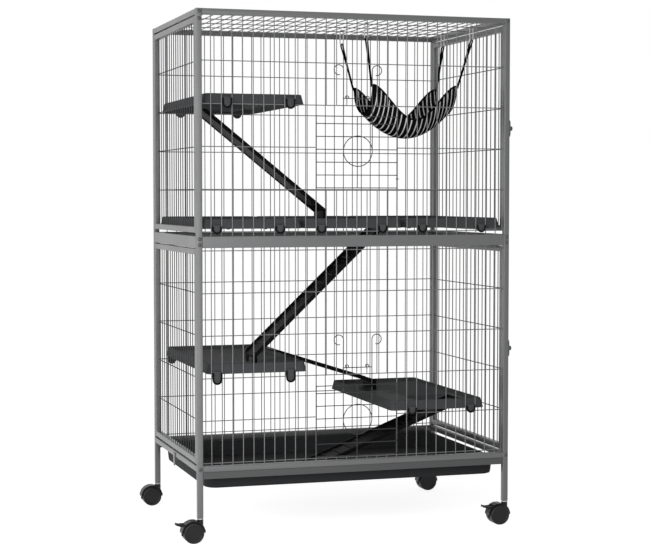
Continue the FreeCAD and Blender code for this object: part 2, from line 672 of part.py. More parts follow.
def door_latch(sill):
    """Sliding latch: crossbar with two eyes on mesh uprights, two uprights that end in curls."""
    z0 = sill + DOOR_RISE + DOOR_HEIGHT + DOOR_WIRE / 2 + LATCH_GAP
    bar_z = sill + DOOR_OPENING + LATCH_BAR_RISE
    r = DOOR_WIRE / 2
    curl_z = z0 + LATCH_HEIGHT - LATCH_CURL_R
    parts = [door_wire(V(-DOOR_RING_R - r, LATCH_BAR_Y, bar_z), X, 2 * DOOR_RING_R + DOOR_WIRE)]
    eye_back = -MESH_Y + MESH_WIRE / 2 + LATCH_EYE_GAP + r
    eye_r = (eye_back - LATCH_BAR_Y) / 2
    for s in (-1, 1):
        eye = V(s * UPRIGHT_PITCH, eye_back - eye_r, bar_z)
        parts.append(wire_ring(eye, eye_r, V(0, 0, 1), V(0, -1, 0), EYE_SIDES))
        centre = V(s * (DOOR_RING_R + LATCH_CURL_R), LATCH_Y, curl_z)
        path = [V(s * DOOR_RING_R, LATCH_Y, z0)]
        for k in range(CURL_STEPS + 1):
            a = math.radians(LATCH_CURL_TURN) * k / CURL_STEPS
            path.append(centre + V(-s * math.cos(a), 0, math.sin(a)) * LATCH_CURL_R)
        parts.append(bent_wire(path, V(0, 1, 0)))
    return fuse(parts)


def tray():
    """Pull-out pan with drafted walls, round corners and a sliding lip."""
    x0, x1 = TRAY_LEFT_X, TRAY_RIGHT_X
    y1 = TRAY_HALF_D
    top, bottom = TRAY_TOP_Z, TRAY_TOP_Z - TRAY_HEIGHT
    inset = TRAY_LIP
    body = frustum(x0 + inset, x1 - inset, -y1 + inset, y1 - inset, bottom, top, TRAY_CORNER_R, -TRAY_DRAFT)
    lip = frustum(x0, x1, -y1, y1, top - TRAY_WALL, top, TRAY_CORNER_R, 0)
    wall = inset + TRAY_WALL
    hollow = frustum(x0 + wall, x1 - wall, -y1 + wall, y1 - wall, TRAY_FLOOR_Z, top + OVERRUN,
                     TRAY_CORNER_R - TRAY_WALL, -TRAY_DRAFT)
    return body.fuse(lip).cut(hollow).removeSplitter()


def tray_pull_tab():
    """Sheet tab screwed on the tray's left lip, standing outside the base rail."""
    z0 = TRAY_TOP_Z - TRAY_WALL - TAB_HEIGHT / 2
    x1 = -HALF_W - PANEL_SEAT_GAP
    r = TAB_WIDTH / 2
    face = box(x1 - TAB_SHEET, x1, -r, r, z0 + r, z0 + TAB_HEIGHT)
    face = face.fuse(cyl(r, V(x1 - TAB_SHEET, 0, z0 + r), V(1, 0, 0), TAB_SHEET))
    foot_z = TRAY_TOP_Z - TRAY_WALL
    foot = box(x1 - TAB_SHEET, TRAY_LEFT_X + TRAY_LIP, -r, r, foot_z - TAB_SHEET, foot_z)
    return fuse([face, foot])


def tray_runners():
    """Two angle runners under the front and back bottom rails."""
    top = BASE_RAIL_Z
    lip_top = TRAY_TOP_Z - TRAY_WALL - RUNNER_SEAT_GAP
    lip_y = TRAY_HALF_D - TRAY_LIP + TRAY_SIDE_GAP
    out = []
    for s in (-1, 1):
        flange = sorted((s * HALF_D, s * (HALF_D - RUNNER_SHEET)))
        lip = sorted((s * HALF_D, s * lip_y))
        out.append(fuse([box(-IN_W, IN_W, flange[0], flange[1], top - RUNNER_HEIGHT, top),
                         box(-IN_W, IN_W, lip[0], lip[1], lip_top - RUNNER_SHEET, lip_top)]))
    return group(out)


def hook_places(centre, count):
    """Two hooks, count cells apart, each between two mesh uprights near the shelf's centre."""
    left = math.floor((centre - count * UPRIGHT_PITCH / 2) / UPRIGHT_PITCH) + 1 / 2
    return [left * UPRIGHT_PITCH, (left + count) * UPRIGHT_PITCH]


def shelf_levels(wire_z, rise):
    """Wall bottom, deck top and rim top of a shelf over its wire."""
    bottom = wire_z + rise
    top = bottom + SHELF_HEIGHT
    return bottom, top - SHELF_RIM, top


def shelf(centre, wire_z, rise, drop, cells, hole=None, hook_shift=0):
    """Moulded platform: flared walls, sunk deck, hooks over the cross wires, a ramp hole if asked."""
    bottom, deck, top = shelf_levels(wire_z, rise)
    x0, x1 = centre - SHELF_WIDTH / 2, centre + SHELF_WIDTH / 2
    y1 = SHELF_DEPTH / 2
    body = frustum(x0, x1, -y1, y1, bottom, top, SHELF_CORNER_R, SHELF_FLARE)
    rate = SHELF_FLARE / SHELF_HEIGHT

    def cavity(z0, z1):
        low = SHELF_WALL - rate * (top - z0)
        high = SHELF_WALL - rate * (top - z1)
        r = SHELF_CORNER_R - SHELF_WALL
        a = rounded(x0 + low, x1 - low, -y1 + low, y1 - low, z0, r)
        b = rounded(x0 + high, x1 - high, -y1 + high, y1 - high, z1, r)
        return skin([a, b], False)
    body = body.cut(cavity(bottom - OVERRUN, deck - SHELF_WALL))
    body = body.cut(cavity(deck, top + OVERRUN))
    if hole:
        hx, hy = hole
        cut = frustum(hx - HOLE_LENGTH / 2, hx + HOLE_LENGTH / 2, hy - HOLE_WIDTH / 2, hy + HOLE_WIDTH / 2,
                      deck - SHELF_WALL - OVERRUN, deck + OVERRUN, HOLE_CORNER_R, 0)
        body = body.cut(cut)
    web_z = wire_z + MESH_WIRE / 2 + HOOK_CLEAR
    wall_y = y1 + SHELF_FLARE - SHELF_WALL
    face_y = HALF_D - HOOK_FACE_INSET
    r = HOOK_WIDTH / 2
    pieces = [body]
    for x in hook_places(centre + hook_shift, cells):
        for s in (-1, 1):
            a, b = sorted((s * wall_y, s * face_y))
            pieces.append(box(x - r, x + r, a, b, web_z, web_z + HOOK_WEB))
            a, b = sorted((s * wall_y, s * (wall_y + SHELF_WALL * HOOK_ROOT_SHARE)))
            pieces.append(box(x - r, x + r, a, b, web_z, bottom + SHELF_WALL))
            a, b = sorted((s * face_y, s * (face_y - HOOK_SHEET)))
            low = wire_z - drop + r
            pieces.append(box(x - r, x + r, a, b, low, bottom + HOOK_UP_SHARE * SHELF_HEIGHT))
            pieces.append(cyl(r, V(x, a, low), V(0, 1, 0), HOOK_SHEET))
    return fuse(pieces)


def ramp(head_x, head_z, foot_x, land_z, y):
    """Channel ramp from a hooked head at a deck's edge to an upright foot on the landing."""
    s = 1 if foot_x > head_x else -1
    run, fall = abs(foot_x - head_x), head_z - land_z
    start = (RAMP_HEAD_GAP, RAMP_GAP + RAMP_SHEET)
    end = (run, RAMP_FOOT_HEIGHT - fall)
    slope = (end[1] - start[1]) / (end[0] - start[0])
    stretch = math.sqrt(1 + slope * slope)

    def under(x, depth):
        return start[1] + slope * (x - start[0]) - depth * stretch
    heel = run - RAMP_FOOT_LENGTH
    ground = RAMP_FOOT_GAP - fall
    side = [start, end, (run, ground), (heel, ground), (heel, under(heel, RAMP_SIDE_HEIGHT)),
            (start[0], under(start[0], RAMP_SIDE_HEIGHT))]
    low = RAMP_FLOOR_DROP + RAMP_SHEET
    floor = [(start[0], under(start[0], RAMP_FLOOR_DROP)), (run, under(run, RAMP_FLOOR_DROP)),
             (run, ground), (run - RAMP_SHEET, ground), (run - RAMP_SHEET, under(run - RAMP_SHEET, low)),
             (start[0], under(start[0], low))]
    half = RAMP_WIDTH / 2

    def place(points):
        return [(head_x + s * x, head_z + z) for x, z in points]
    pieces = [prism_xz(place(floor), y - half, y + half)]
    for a, b in ((y - half, y - half + RAMP_SHEET), (y + half - RAMP_SHEET, y + half)):
        pieces.append(prism_xz(place(side), a, b))
    head = [(-RAMP_TONGUE, RAMP_GAP), (start[0], RAMP_GAP), (start[0], under(start[0], low)),
            (start[0] + RAMP_SHEET, under(start[0] + RAMP_SHEET, low)), (start[0] + RAMP_SHEET, start[1]),
            (-RAMP_TONGUE, start[1])]
    pieces.append(prism_xz(place(head), y - half, y + half))
    length = run - start[0] - RAMP_FOOT_LENGTH
    count = int(length * stretch / RAMP_TREAD_PITCH)
    for k in range(1, count + 1):
        x = start[0] + length * k / (count + 1)
        tread = [(x, under(x, RAMP_FLOOR_DROP)), (x, under(x, RAMP_FLOOR_DROP - RAMP_TREAD)),
                 (x + RAMP_SHEET, under(x + RAMP_SHEET, RAMP_FLOOR_DROP - RAMP_TREAD)),
                 (x + RAMP_SHEET, under(x + RAMP_SHEET, RAMP_FLOOR_DROP + RAMP_SHEET / 2)),
                 (x, under(x, RAMP_FLOOR_DROP + RAMP_SHEET / 2))]
        pieces.append(prism_xz(place(tread), y - half + RAMP_SHEET / 2, y + half - RAMP_SHEET / 2))
    low_x, high_x = heel - OVERRUN, run + OVERRUN
    low_z, high_z = ground - OVERRUN, ground + RAMP_NOTCH
    notch = [(low_x, low_z), (high_x, low_z), (high_x, high_z), (low_x, high_z)]
    return fuse(pieces).cut(prism_xz(place(notch), y - half + RAMP_LEG, y + half - RAMP_LEG))


def shelves_and_ramps():
    """Six platforms on two storeys and the four ramps between them."""
    half = SHELF_WIDTH / 2
    to_centre = HOLE_LENGTH / 2
    aside = -UPRIGHT_PITCH / 2
    out = {
        "top_left_shelf": shelf(TOP_LEFT_X, TOP_WIRE_Z, TOP_RISE, SHORT_HOOK_DROP, HOOK_CELLS,
                                (TOP_RAMP_HEAD_X + to_centre, BACK_RAMP_Y)),
        "mid_left_shelf": shelf(MID_LEFT_X, MID_WIRE_Z, MID_RISE, SHORT_HOOK_DROP, HOOK_CELLS, None, aside),
        "mid_centre_shelf": shelf(MID_CENTRE_X, MID_WIRE_Z, MID_RISE, SHORT_HOOK_DROP, HOOK_CELLS,
                                  (MID_RAMP_HEAD_X - to_centre, FRONT_RAMP_Y), aside),
        "mid_right_shelf": shelf(MID_RIGHT_X, MID_WIRE_Z, MID_RISE, SHORT_HOOK_DROP, HOOK_CELLS, None, aside),
        "lower_left_shelf": shelf(LOWER_LEFT_X, LOWER_LEFT_WIRE_Z, LOWER_LEFT_RISE, LONG_HOOK_DROP, WIDE_HOOK_CELLS,
                                  None, aside),
        "lower_right_shelf": shelf(LOWER_RIGHT_X, LOWER_RIGHT_WIRE_Z, LOWER_RIGHT_RISE, SHORT_HOOK_DROP, HOOK_CELLS,
                                   (TRAY_RAMP_HEAD_X - to_centre, FRONT_RAMP_Y)),
    }
    top_deck = shelf_levels(TOP_WIRE_Z, TOP_RISE)[1]
    mid_deck = shelf_levels(MID_WIRE_Z, MID_RISE)[1]
    low_deck, low_rim = shelf_levels(LOWER_LEFT_WIRE_Z, LOWER_LEFT_RISE)[1:]
    right_deck = shelf_levels(LOWER_RIGHT_WIRE_Z, LOWER_RIGHT_RISE)[1]
    edge = LOWER_LEFT_X + half + SHELF_FLARE
    out["top_ramp"] = ramp(TOP_RAMP_HEAD_X, top_deck, TOP_RAMP_FOOT_X, mid_deck, BACK_RAMP_Y)
    out["mid_ramp"] = ramp(MID_RAMP_HEAD_X, mid_deck, MID_RAMP_FOOT_X, low_deck, FRONT_RAMP_Y)
    out["cross_ramp"] = ramp(edge, low_rim, CROSS_RAMP_FOOT_X, right_deck, BACK_RAMP_Y)
    out["tray_ramp"] = ramp(TRAY_RAMP_HEAD_X, right_deck, TRAY_RAMP_FOOT_X, TRAY_FLOOR_Z, FRONT_RAMP_Y)
    return out


def bed_heights(t):
    """Height of the cloth's edge and middle at a share t of its half length."""
    edge = BED_CORNER_Z - BED_EDGE_SAG * (1 - t * t)
    middle = edge - BED_END_SAG - (BED_MIDDLE_SAG - BED_END_SAG) * (1 - t * t)
    return edge, middle


def hammock_bed():
    """Hanging cloth skinned through sagging cross sections, each an arc from edge to edge."""
    half = BED_WIDTH / 2
    sections = []
    for k in range(BED_SECTIONS):
        t = 2.0 * k / (BED_SECTIONS - 1) - 1
        x = BED_CENTRE_X + t * BED_LENGTH / 2
        edge, middle = bed_heights(t)
        spread = 2 * math.atan((edge - middle) / half)
        bend = half / math.sin(spread)
        angles = [spread * (2.0 * j / BED_STRIPS - 1) for j in range(BED_STRIPS + 1)]
        centre = V(x, BED_CENTRE_Y, middle + bend)
        lower = [centre + V(0, math.sin(a), -math.cos(a)) * bend for a in angles]
        upper = [centre + V(0, math.sin(a), -math.cos(a)) * (bend - BED_CLOTH) for a in reversed(angles)]
        sections.append(lower + upper)
    return skin(sections, False, True)


def ring_places():
    """The four roof rings: X on a roof wire, Y, and the cloth corner below each."""
    out = []
    for cell, sx in ((RING_LEFT_CELL, -1), (RING_RIGHT_CELL, 1)):
        for y, sy in ((RING_FRONT_Y, -1), (RING_BACK_Y, 1)):
            corner = V(BED_CENTRE_X + sx * (BED_LENGTH / 2 + STRAP_GAP + STRAP_SHEET / 2),
                       BED_CENTRE_Y + sy * (BED_WIDTH - STRAP_WIDTH) / 2,
                       BED_CORNER_Z - STRAP_LAP)
            out.append((cell * UPRIGHT_PITCH, y, corner))
    return out


def hammock_rings():
    """Plastic rings that hang on the roof wires, one node."""
    rings = []
    for x, y, corner in ring_places():
        top = ROOF_Z + MESH_WIRE + RING_GAP + RING_BAR
        shapes = []
        for inset in (0, RING_BAR):
            r = RING_WIDTH / 2 - inset
            z0, z1 = top - RING_HEIGHT + RING_WIDTH / 2, top - RING_WIDTH / 2
            deep = RING_DEPTH + (2 * OVERRUN if inset else 0)
            y0 = y - deep / 2
            bar = box(x - r, x + r, y0, y0 + deep, z0, z1)
            for z in (z0, z1):
                bar = bar.fuse(cyl(r, V(x, y0, z), V(0, 1, 0), deep))
            shapes.append(bar)
        rings.append(shapes[0].cut(shapes[1]).removeSplitter())
    return group(rings)


def hammock_straps():
    """Flat webbing from each ring down to a corner of the cloth, one node."""
    straps = []
    for x, y, corner in ring_places():
        head = V(x, y, ROOF_Z + MESH_WIRE + RING_GAP + RING_BAR - RING_HEIGHT - STRAP_GAP)
        along = corner - head
        across = V(0, 1, 0).cross(along).normalize()
        flat = along.cross(across).normalize() * (STRAP_WIDTH / 2)
        thick = across * (STRAP_SHEET / 2)
        ends = []
        for p in (head, corner):
            level = [p + flat + thick, p - flat + thick, p - flat - thick, p + flat - thick]
            for q in level:
                q.z = p.z
            ends.append(Part.makePolygon(level + level[:1]))
        straps.append(Part.makeLoft(ends, True, True))
    return group(straps)


def caster(name, sx, sy, braked):
    """Twin-wheel caster: hood with its stem, two wheels, axle, and a brake lever if asked."""
    x, y = sx * POST_X, sy * POST_Y
    ax = x - CASTER_TRAIL
    hub = V(ax, y, WHEEL_R)
    across = Y
    inner = WHEEL_R + HOOD_GAP
    outer = inner + HOOD_SHEET
    half_hood = HOOD_WIDTH / 2
    shell = bore(outer, hub - across * half_hood, across, HOOD_WIDTH, WHEEL_SIDES)
    hollow = bore(inner, hub - across * HOOD_WIDTH, across, 2 * HOOD_WIDTH, WHEEL_SIDES)
    shell = shell.cut(hollow)
    shell = shell.cut(box(ax - 2 * outer, ax + 2 * outer, y - HOOD_WIDTH, y + HOOD_WIDTH, -outer, WHEEL_R))
    web = bore(inner + HOOD_SHEET / 2, hub - across * (HOOD_WEB / 2), across, HOOD_WEB, WHEEL_SIDES)
    web = web.cut(box(ax - 2 * outer, ax + 2 * outer, y - HOOD_WEB, y + HOOD_WEB,
                      -outer, WHEEL_R - STEM_BOSS_R))
    stem_top = POST_FOOT_Z - SLEEVE_FLANGE - SWIVEL_GAP
    boss = cyl(STEM_BOSS_R, V(x, y, WHEEL_R + STEM_BOSS_R), V(0, 0, 1), stem_top - WHEEL_R - STEM_BOSS_R)
    stem = cyl(STEM_R, V(x, y, stem_top - STEM_BOSS_R), Z, STEM_LENGTH + STEM_BOSS_R)
    pieces = [shell, web, fuse([boss, stem]).cut(hollow)]
    px, pz = ax - outer - LEVER_BARREL_R, LEVER_PIVOT_Z
    if braked:
        for s in (-1, 1):
            ear_y = y + s * (LEVER_WIDTH / 2 + PANEL_SEAT_GAP + LEVER_EAR / 2)
            ear = fuse([cyl(LEVER_BARREL_R, V(px, ear_y - LEVER_EAR / 2, pz), across, LEVER_EAR),
                        box(px, ax - inner * LEVER_EAR_SHARE, ear_y - LEVER_EAR / 2, ear_y + LEVER_EAR / 2,
                            pz - LEVER_BARREL_R, pz + LEVER_BARREL_R)])
            pieces.append(ear.cut(hollow))
    hood = fuse(pieces)
    hood = hood.cut(cyl(AXLE_R, hub - across * HOOD_WEB, across, 2 * HOOD_WEB))
    if braked:
        hood = hood.cut(bore(LEVER_PIN_R + RUNNING_FIT, V(px, y - HOOD_WIDTH, pz), across, 2 * HOOD_WIDTH))
    out = {name + "_caster_hood": hood}
    wheels = []
    for s in (-1, 1):
        near = HOOD_WEB / 2 + PANEL_SEAT_GAP
        face = near + WHEEL_WIDTH
        outline = [(AXLE_R + RUNNING_FIT, near), (WHEEL_R, near), (WHEEL_R, face - WHEEL_RIM_R),
                   (WHEEL_R - WHEEL_RIM_R, face), (WHEEL_DISH_R, face),
                   (WHEEL_DISH_R - WHEEL_DISH, face - WHEEL_DISH), (AXLE_R + RUNNING_FIT, face - WHEEL_DISH)]
        flat = math.cos(math.pi / WHEEL_SIDES)
        rings = [ring_points(hub + across * (s * depth), across, radius / flat, WHEEL_SIDES)
                 for radius, depth in outline]
        wheels.append(skin(rings, True))
    out[name + "_wheels"] = group(wheels)
    reach = HOOD_WEB / 2 + PANEL_SEAT_GAP + WHEEL_WIDTH - WHEEL_DISH
    out[name + "_axle"] = cyl(AXLE_R, hub - across * reach, across, 2 * reach)
    if braked:
        half = LEVER_WIDTH / 2
        barrel = cyl(LEVER_BARREL_R, V(px, y - half, pz), across, LEVER_WIDTH)
        reach = half + PANEL_SEAT_GAP + LEVER_EAR
        pin = cyl(LEVER_PIN_R, V(px, y - reach, pz), across, 2 * reach)
        pad = box(px - LEVER_REACH, px, y - half, y + half, pz - LEVER_SHEET / 2, pz + LEVER_SHEET / 2)
        pad.rotate(V(px, y, pz), across, LEVER_TILT_DEG)
        out[name + "_brake_lever"] = fuse([barrel, pin, pad])
    return out


def caster_sleeves():
    """Flanged plugs in the post ends that hold the caster stems, one node."""
    sleeves = []
    plug = TUBE / 2 - TUBE_WALL
    for sx in (-1, 1):
        for sy in (-1, 1):
            x, y = sx * POST_X, sy * POST_Y
            flange = cyl(TUBE / 2, V(x, y, POST_FOOT_Z - SLEEVE_FLANGE), V(0, 0, 1), SLEEVE_FLANGE)
            body = box(x - plug, x + plug, y - plug, y + plug, POST_FOOT_Z, POST_FOOT_Z + SLEEVE_DEPTH)
            socket = bore(STEM_R + RUNNING_FIT, V(x, y, POST_FOOT_Z - SLEEVE_FLANGE - OVERRUN), Z,
                          SLEEVE_FLANGE + SLEEVE_DEPTH + 2 * OVERRUN)
            sleeves.append(flange.fuse(body).cut(socket).removeSplitter())
    return group(sleeves)


def build():
    """All nodes by name, moved so that the origin is the middle of the box's bottom."""
    nodes = {}
    nodes.update(posts())
    nodes.update(rails())
    nodes["roof_mesh"] = roof_mesh()
    nodes["upper_front_mesh"] = flat_mesh(-MESH_Y, 1, MID_RAIL_TOP_Z, TOP_RAIL_Z,
                                          UPPER_CROSS_Z, UPPER_CROSSES, UPPER_DOOR_SILL)
    nodes["lower_front_mesh"] = flat_mesh(-MESH_Y, 1, BASE_RAIL_TOP_Z, MID_RAIL_Z,
                                          LOWER_CROSS_Z, LOWER_CROSSES, LOWER_DOOR_SILL)
    nodes["upper_back_mesh"] = flat_mesh(MESH_Y, -1, MID_RAIL_TOP_Z, TOP_RAIL_Z, UPPER_CROSS_Z, UPPER_CROSSES)
    nodes["lower_back_mesh"] = flat_mesh(MESH_Y, -1, BASE_RAIL_TOP_Z, MID_RAIL_Z, LOWER_CROSS_Z, LOWER_CROSSES)
    nodes.update(side_panels())
    for name, z in zip(("upper", "lower"), button_heights()):
        nodes[name + "_turn_button"] = turn_button(z)
    for name, sill in (("upper", UPPER_DOOR_SILL), ("lower", LOWER_DOOR_SILL)):
        nodes[name + "_front_door"] = front_door(sill)
        nodes[name + "_door_latch"] = door_latch(sill)
    nodes["frame_screws"] = frame_screws()
    nodes["tray_runners"] = tray_runners()
    nodes["tray"] = tray()
    nodes["tray_pull_tab"] = tray_pull_tab()
    nodes.update(shelves_and_ramps())
    nodes["hammock_bed"] = hammock_bed()
    nodes["hammock_rings"] = hammock_rings()
    nodes["hammock_straps"] = hammock_straps()
    for name, sx, sy, braked in (("front_left", -1, -1, True), ("front_right", 1, -1, True),
                                 ("back_left", -1, 1, False), ("back_right", 1, 1, False)):
        nodes.update(caster(name, sx, sy, braked))
    nodes["caster_sleeves"] = caster_sleeves()
    bounds = Part.makeCompound(list(nodes.values())).BoundBox
    shift = V(-bounds.Center.x, -bounds.Center.y, -bounds.ZMin)
    for shape in nodes.values():
        shape.translate(shift)
    return nodes, shift


def main():
    """Write one STEP file per node."""
    os.makedirs("parts", exist_ok=True)
    for name, shape in build()[0].items():
        shape.exportStep("parts/%s.step" % name)


if __name__ == "__main__":
    main()
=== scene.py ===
"""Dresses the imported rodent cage: tubes, wire, mouldings, hammock, casters, and the studio."""

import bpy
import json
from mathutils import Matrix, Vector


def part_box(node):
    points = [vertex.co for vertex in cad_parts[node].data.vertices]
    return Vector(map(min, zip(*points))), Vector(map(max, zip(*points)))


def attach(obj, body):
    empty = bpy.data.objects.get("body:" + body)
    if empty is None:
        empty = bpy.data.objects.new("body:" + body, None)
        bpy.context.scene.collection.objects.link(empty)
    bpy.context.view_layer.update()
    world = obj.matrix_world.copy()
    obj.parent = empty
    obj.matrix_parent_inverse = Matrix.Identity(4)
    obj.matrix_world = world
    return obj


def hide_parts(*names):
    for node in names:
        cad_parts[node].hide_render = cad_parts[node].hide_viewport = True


bl_info = {
    "name": "Rodent cage",
    "version": (1, 0, 0),
    "blender": (4, 5, 0),
    "location": "View3D > Sidebar > Cage",
    "description": "Two-storey wire cage with platforms, ramps, hammock, tray and casters",
    "category": "Object",
}

import json
import math

import bpy
import numpy as np
from bpy.props import FloatProperty, FloatVectorProperty, IntProperty, PointerProperty
from bpy.types import Operator, Panel, PropertyGroup

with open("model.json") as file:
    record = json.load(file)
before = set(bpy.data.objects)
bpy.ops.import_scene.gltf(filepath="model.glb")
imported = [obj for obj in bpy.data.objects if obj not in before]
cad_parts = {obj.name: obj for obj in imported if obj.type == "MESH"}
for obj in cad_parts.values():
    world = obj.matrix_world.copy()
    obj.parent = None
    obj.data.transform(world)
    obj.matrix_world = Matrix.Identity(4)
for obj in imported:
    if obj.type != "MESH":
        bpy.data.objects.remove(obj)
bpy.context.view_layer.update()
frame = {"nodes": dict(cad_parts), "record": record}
BODY_OF = {node: body for body, nodes in frame["record"]["behaviour"]["bodies"].items() for node in nodes}

POSTS = ["front_left_post", "front_right_post", "back_left_post", "back_right_post"]
RAILS = ["front_top_rail", "front_mid_rail", "front_bottom_rail", "back_top_rail", "back_mid_rail",
         "back_bottom_rail", "side_rails", "side_mid_rails"]
PANELS = ["upper_left_panel", "lower_left_panel", "upper_side_door", "lower_side_door"]
GRIDS = ["roof_mesh", "upper_front_mesh", "lower_front_mesh", "upper_back_mesh", "lower_back_mesh"]
SHELVES = ["top_left_shelf", "mid_left_shelf", "mid_centre_shelf", "mid_right_shelf", "lower_left_shelf",
           "lower_right_shelf"]
RAMPS = ["top_ramp", "mid_ramp", "cross_ramp", "tray_ramp"]
CORNERS = ["front_left", "front_right", "back_left", "back_right"]
LEVELS = ("upper", "lower")
FULL_TURN = 2 * math.pi

# Wire is thinner than this, and tubes are thicker
THIN = 0.004

# Edges that bend less than this are shaded smooth, on mouldings and elsewhere
MOULDED_DEG = 50.0
SMOOTH_DEG = 40.0

# Sides of small round wire, points of round forms, and the open radius on a turned piece's axis
SMALL_WIRE_SIDES = 12
RING_POINTS = 64
EYE_POINTS = 32
ROUNDING_POINTS = 8
AXIS_GAP = 0.0002

# Platforms with a ramp hole: the ramp that hangs in it, and which way the ramp runs
HOLES = {"top_left_shelf": ("top_ramp", 1), "mid_centre_shelf": ("mid_ramp", -1),
         "lower_right_shelf": ("tray_ramp", -1)}


def box_of(node):
    """Lowest and highest corner of a node as arrays."""
    low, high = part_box(node)
    return np.array(low), np.array(high)


FRAME_X = float(sum(corner[0] for corner in box_of("front_top_rail")) / 2)


def as_colour(name, what, value):
    """Colour setting."""
    return FloatVectorProperty(name=name, description="Colour of " + what, subtype="COLOR", default=value)


def as_length(name, what, value):
    """Setting in metres."""
    return FloatProperty(name=name, description=what, default=value, subtype="DISTANCE", unit="LENGTH")


def as_angle(name, what, value):
    """Setting in radians."""
    return FloatProperty(name=name, description=what, default=value, subtype="ANGLE", unit="ROTATION")


def as_power(name, what, value):
    """Setting in watts."""
    return FloatProperty(name=name, description=what, default=value, subtype="POWER", unit="POWER")


class CageFinish(PropertyGroup):
    """Colours of the cage's finishes."""
    coat: as_colour("Powder coat", "the tubes", (0.125, 0.127, 0.13))
    wire: as_colour("Mesh wire", "the welded mesh", (0.18, 0.182, 0.185))
    # Door wire is the powder coat made darker: painted shade on the thin wire
    shaded_thin_wire: as_colour("Door wire", "small doors, latches and side mesh", (0.05, 0.051, 0.053))
    # Runners are the powder coat made darker: painted shade under the rails
    runner: as_colour("Runners", "the tray's runners", (0.08, 0.081, 0.083))
    shelf: as_colour("Platforms", "the platforms", (0.075, 0.077, 0.08))
    ramp: as_colour("Ramps", "the ramps", (0.004, 0.0041, 0.0044))
    tray: as_colour("Tray", "the tray", (0.036, 0.037, 0.039))
    cloth: as_colour("Hammock", "the hammock's ground", (0.008, 0.008, 0.0085))
    stripe: as_colour("Stripe", "the hammock's stripes", (0.95, 0.95, 0.93))
    webbing: as_colour("Webbing", "the straps and the bound edge", (0.006, 0.006, 0.0065))
    caster: as_colour("Casters", "the casters", (0.008, 0.008, 0.009))
    knob: as_colour("Knobs", "the turn knobs", (0.03, 0.03, 0.032))
    white: as_colour("White plastic", "rings and sleeves", (0.78, 0.78, 0.76))
    screw: as_colour("Screws", "the frame's screws", (0.075, 0.076, 0.08))
    steel: as_colour("Steel", "pins and axles", (0.52, 0.52, 0.53))


class CageShape(PropertyGroup):
    """Sizes of what is modelled over the frame."""
    tube_round: as_length("Tube rounding", "Corner radius of the square tubes", 0.0018)
    wire_sides: IntProperty(name="Wire sides", description="Sides of a round mesh wire", default=10, min=6,
                            subtype="UNSIGNED")
    stripe_pitch: as_length("Stripe pitch", "Distance between the hammock's stripes", 0.0145)
    stripe_width: as_length("Stripe width", "Width of one stripe", 0.0033)
    cloth_thick: as_length("Cloth thickness", "Thickness of the hammock's cloth", 0.0022)
    curl_radius: as_length("Curl radius", "Radius of the latch's curled ends", 0.012)
    curl_turn: as_angle("Curl turn", "Angle that each curl turns through", math.radians(285))


class CageStage(PropertyGroup):
    """Camera and light."""
    lens: FloatProperty(name="Lens", description="Focal length on a 36 mm sensor", default=91.57,
                        subtype="DISTANCE_CAMERA")
    yaw: as_angle("Yaw", "Camera's turn to the right of the cage's depth", 0.299)
    pitch: as_angle("Pitch", "Camera's tilt below level", 0.0482)
    place: FloatVectorProperty(name="Place", description="Camera's place from the middle of the frame",
                               default=(-1.26118, -4.08462, 0.82696), subtype="XYZ", unit="LENGTH")
    key: as_power("Key light", "Power of the large light on the left", 70.0)
    fill: as_power("Fill light", "Power of the large light in front", 15.0)
    sky: FloatProperty(name="Surround", description="Strength of the even light all round", default=0.18,
                       subtype="FACTOR")
    floor_glow: FloatProperty(name="Floor glow", description="Light added to the floor as the camera sees it",
                              default=0.86, subtype="FACTOR")


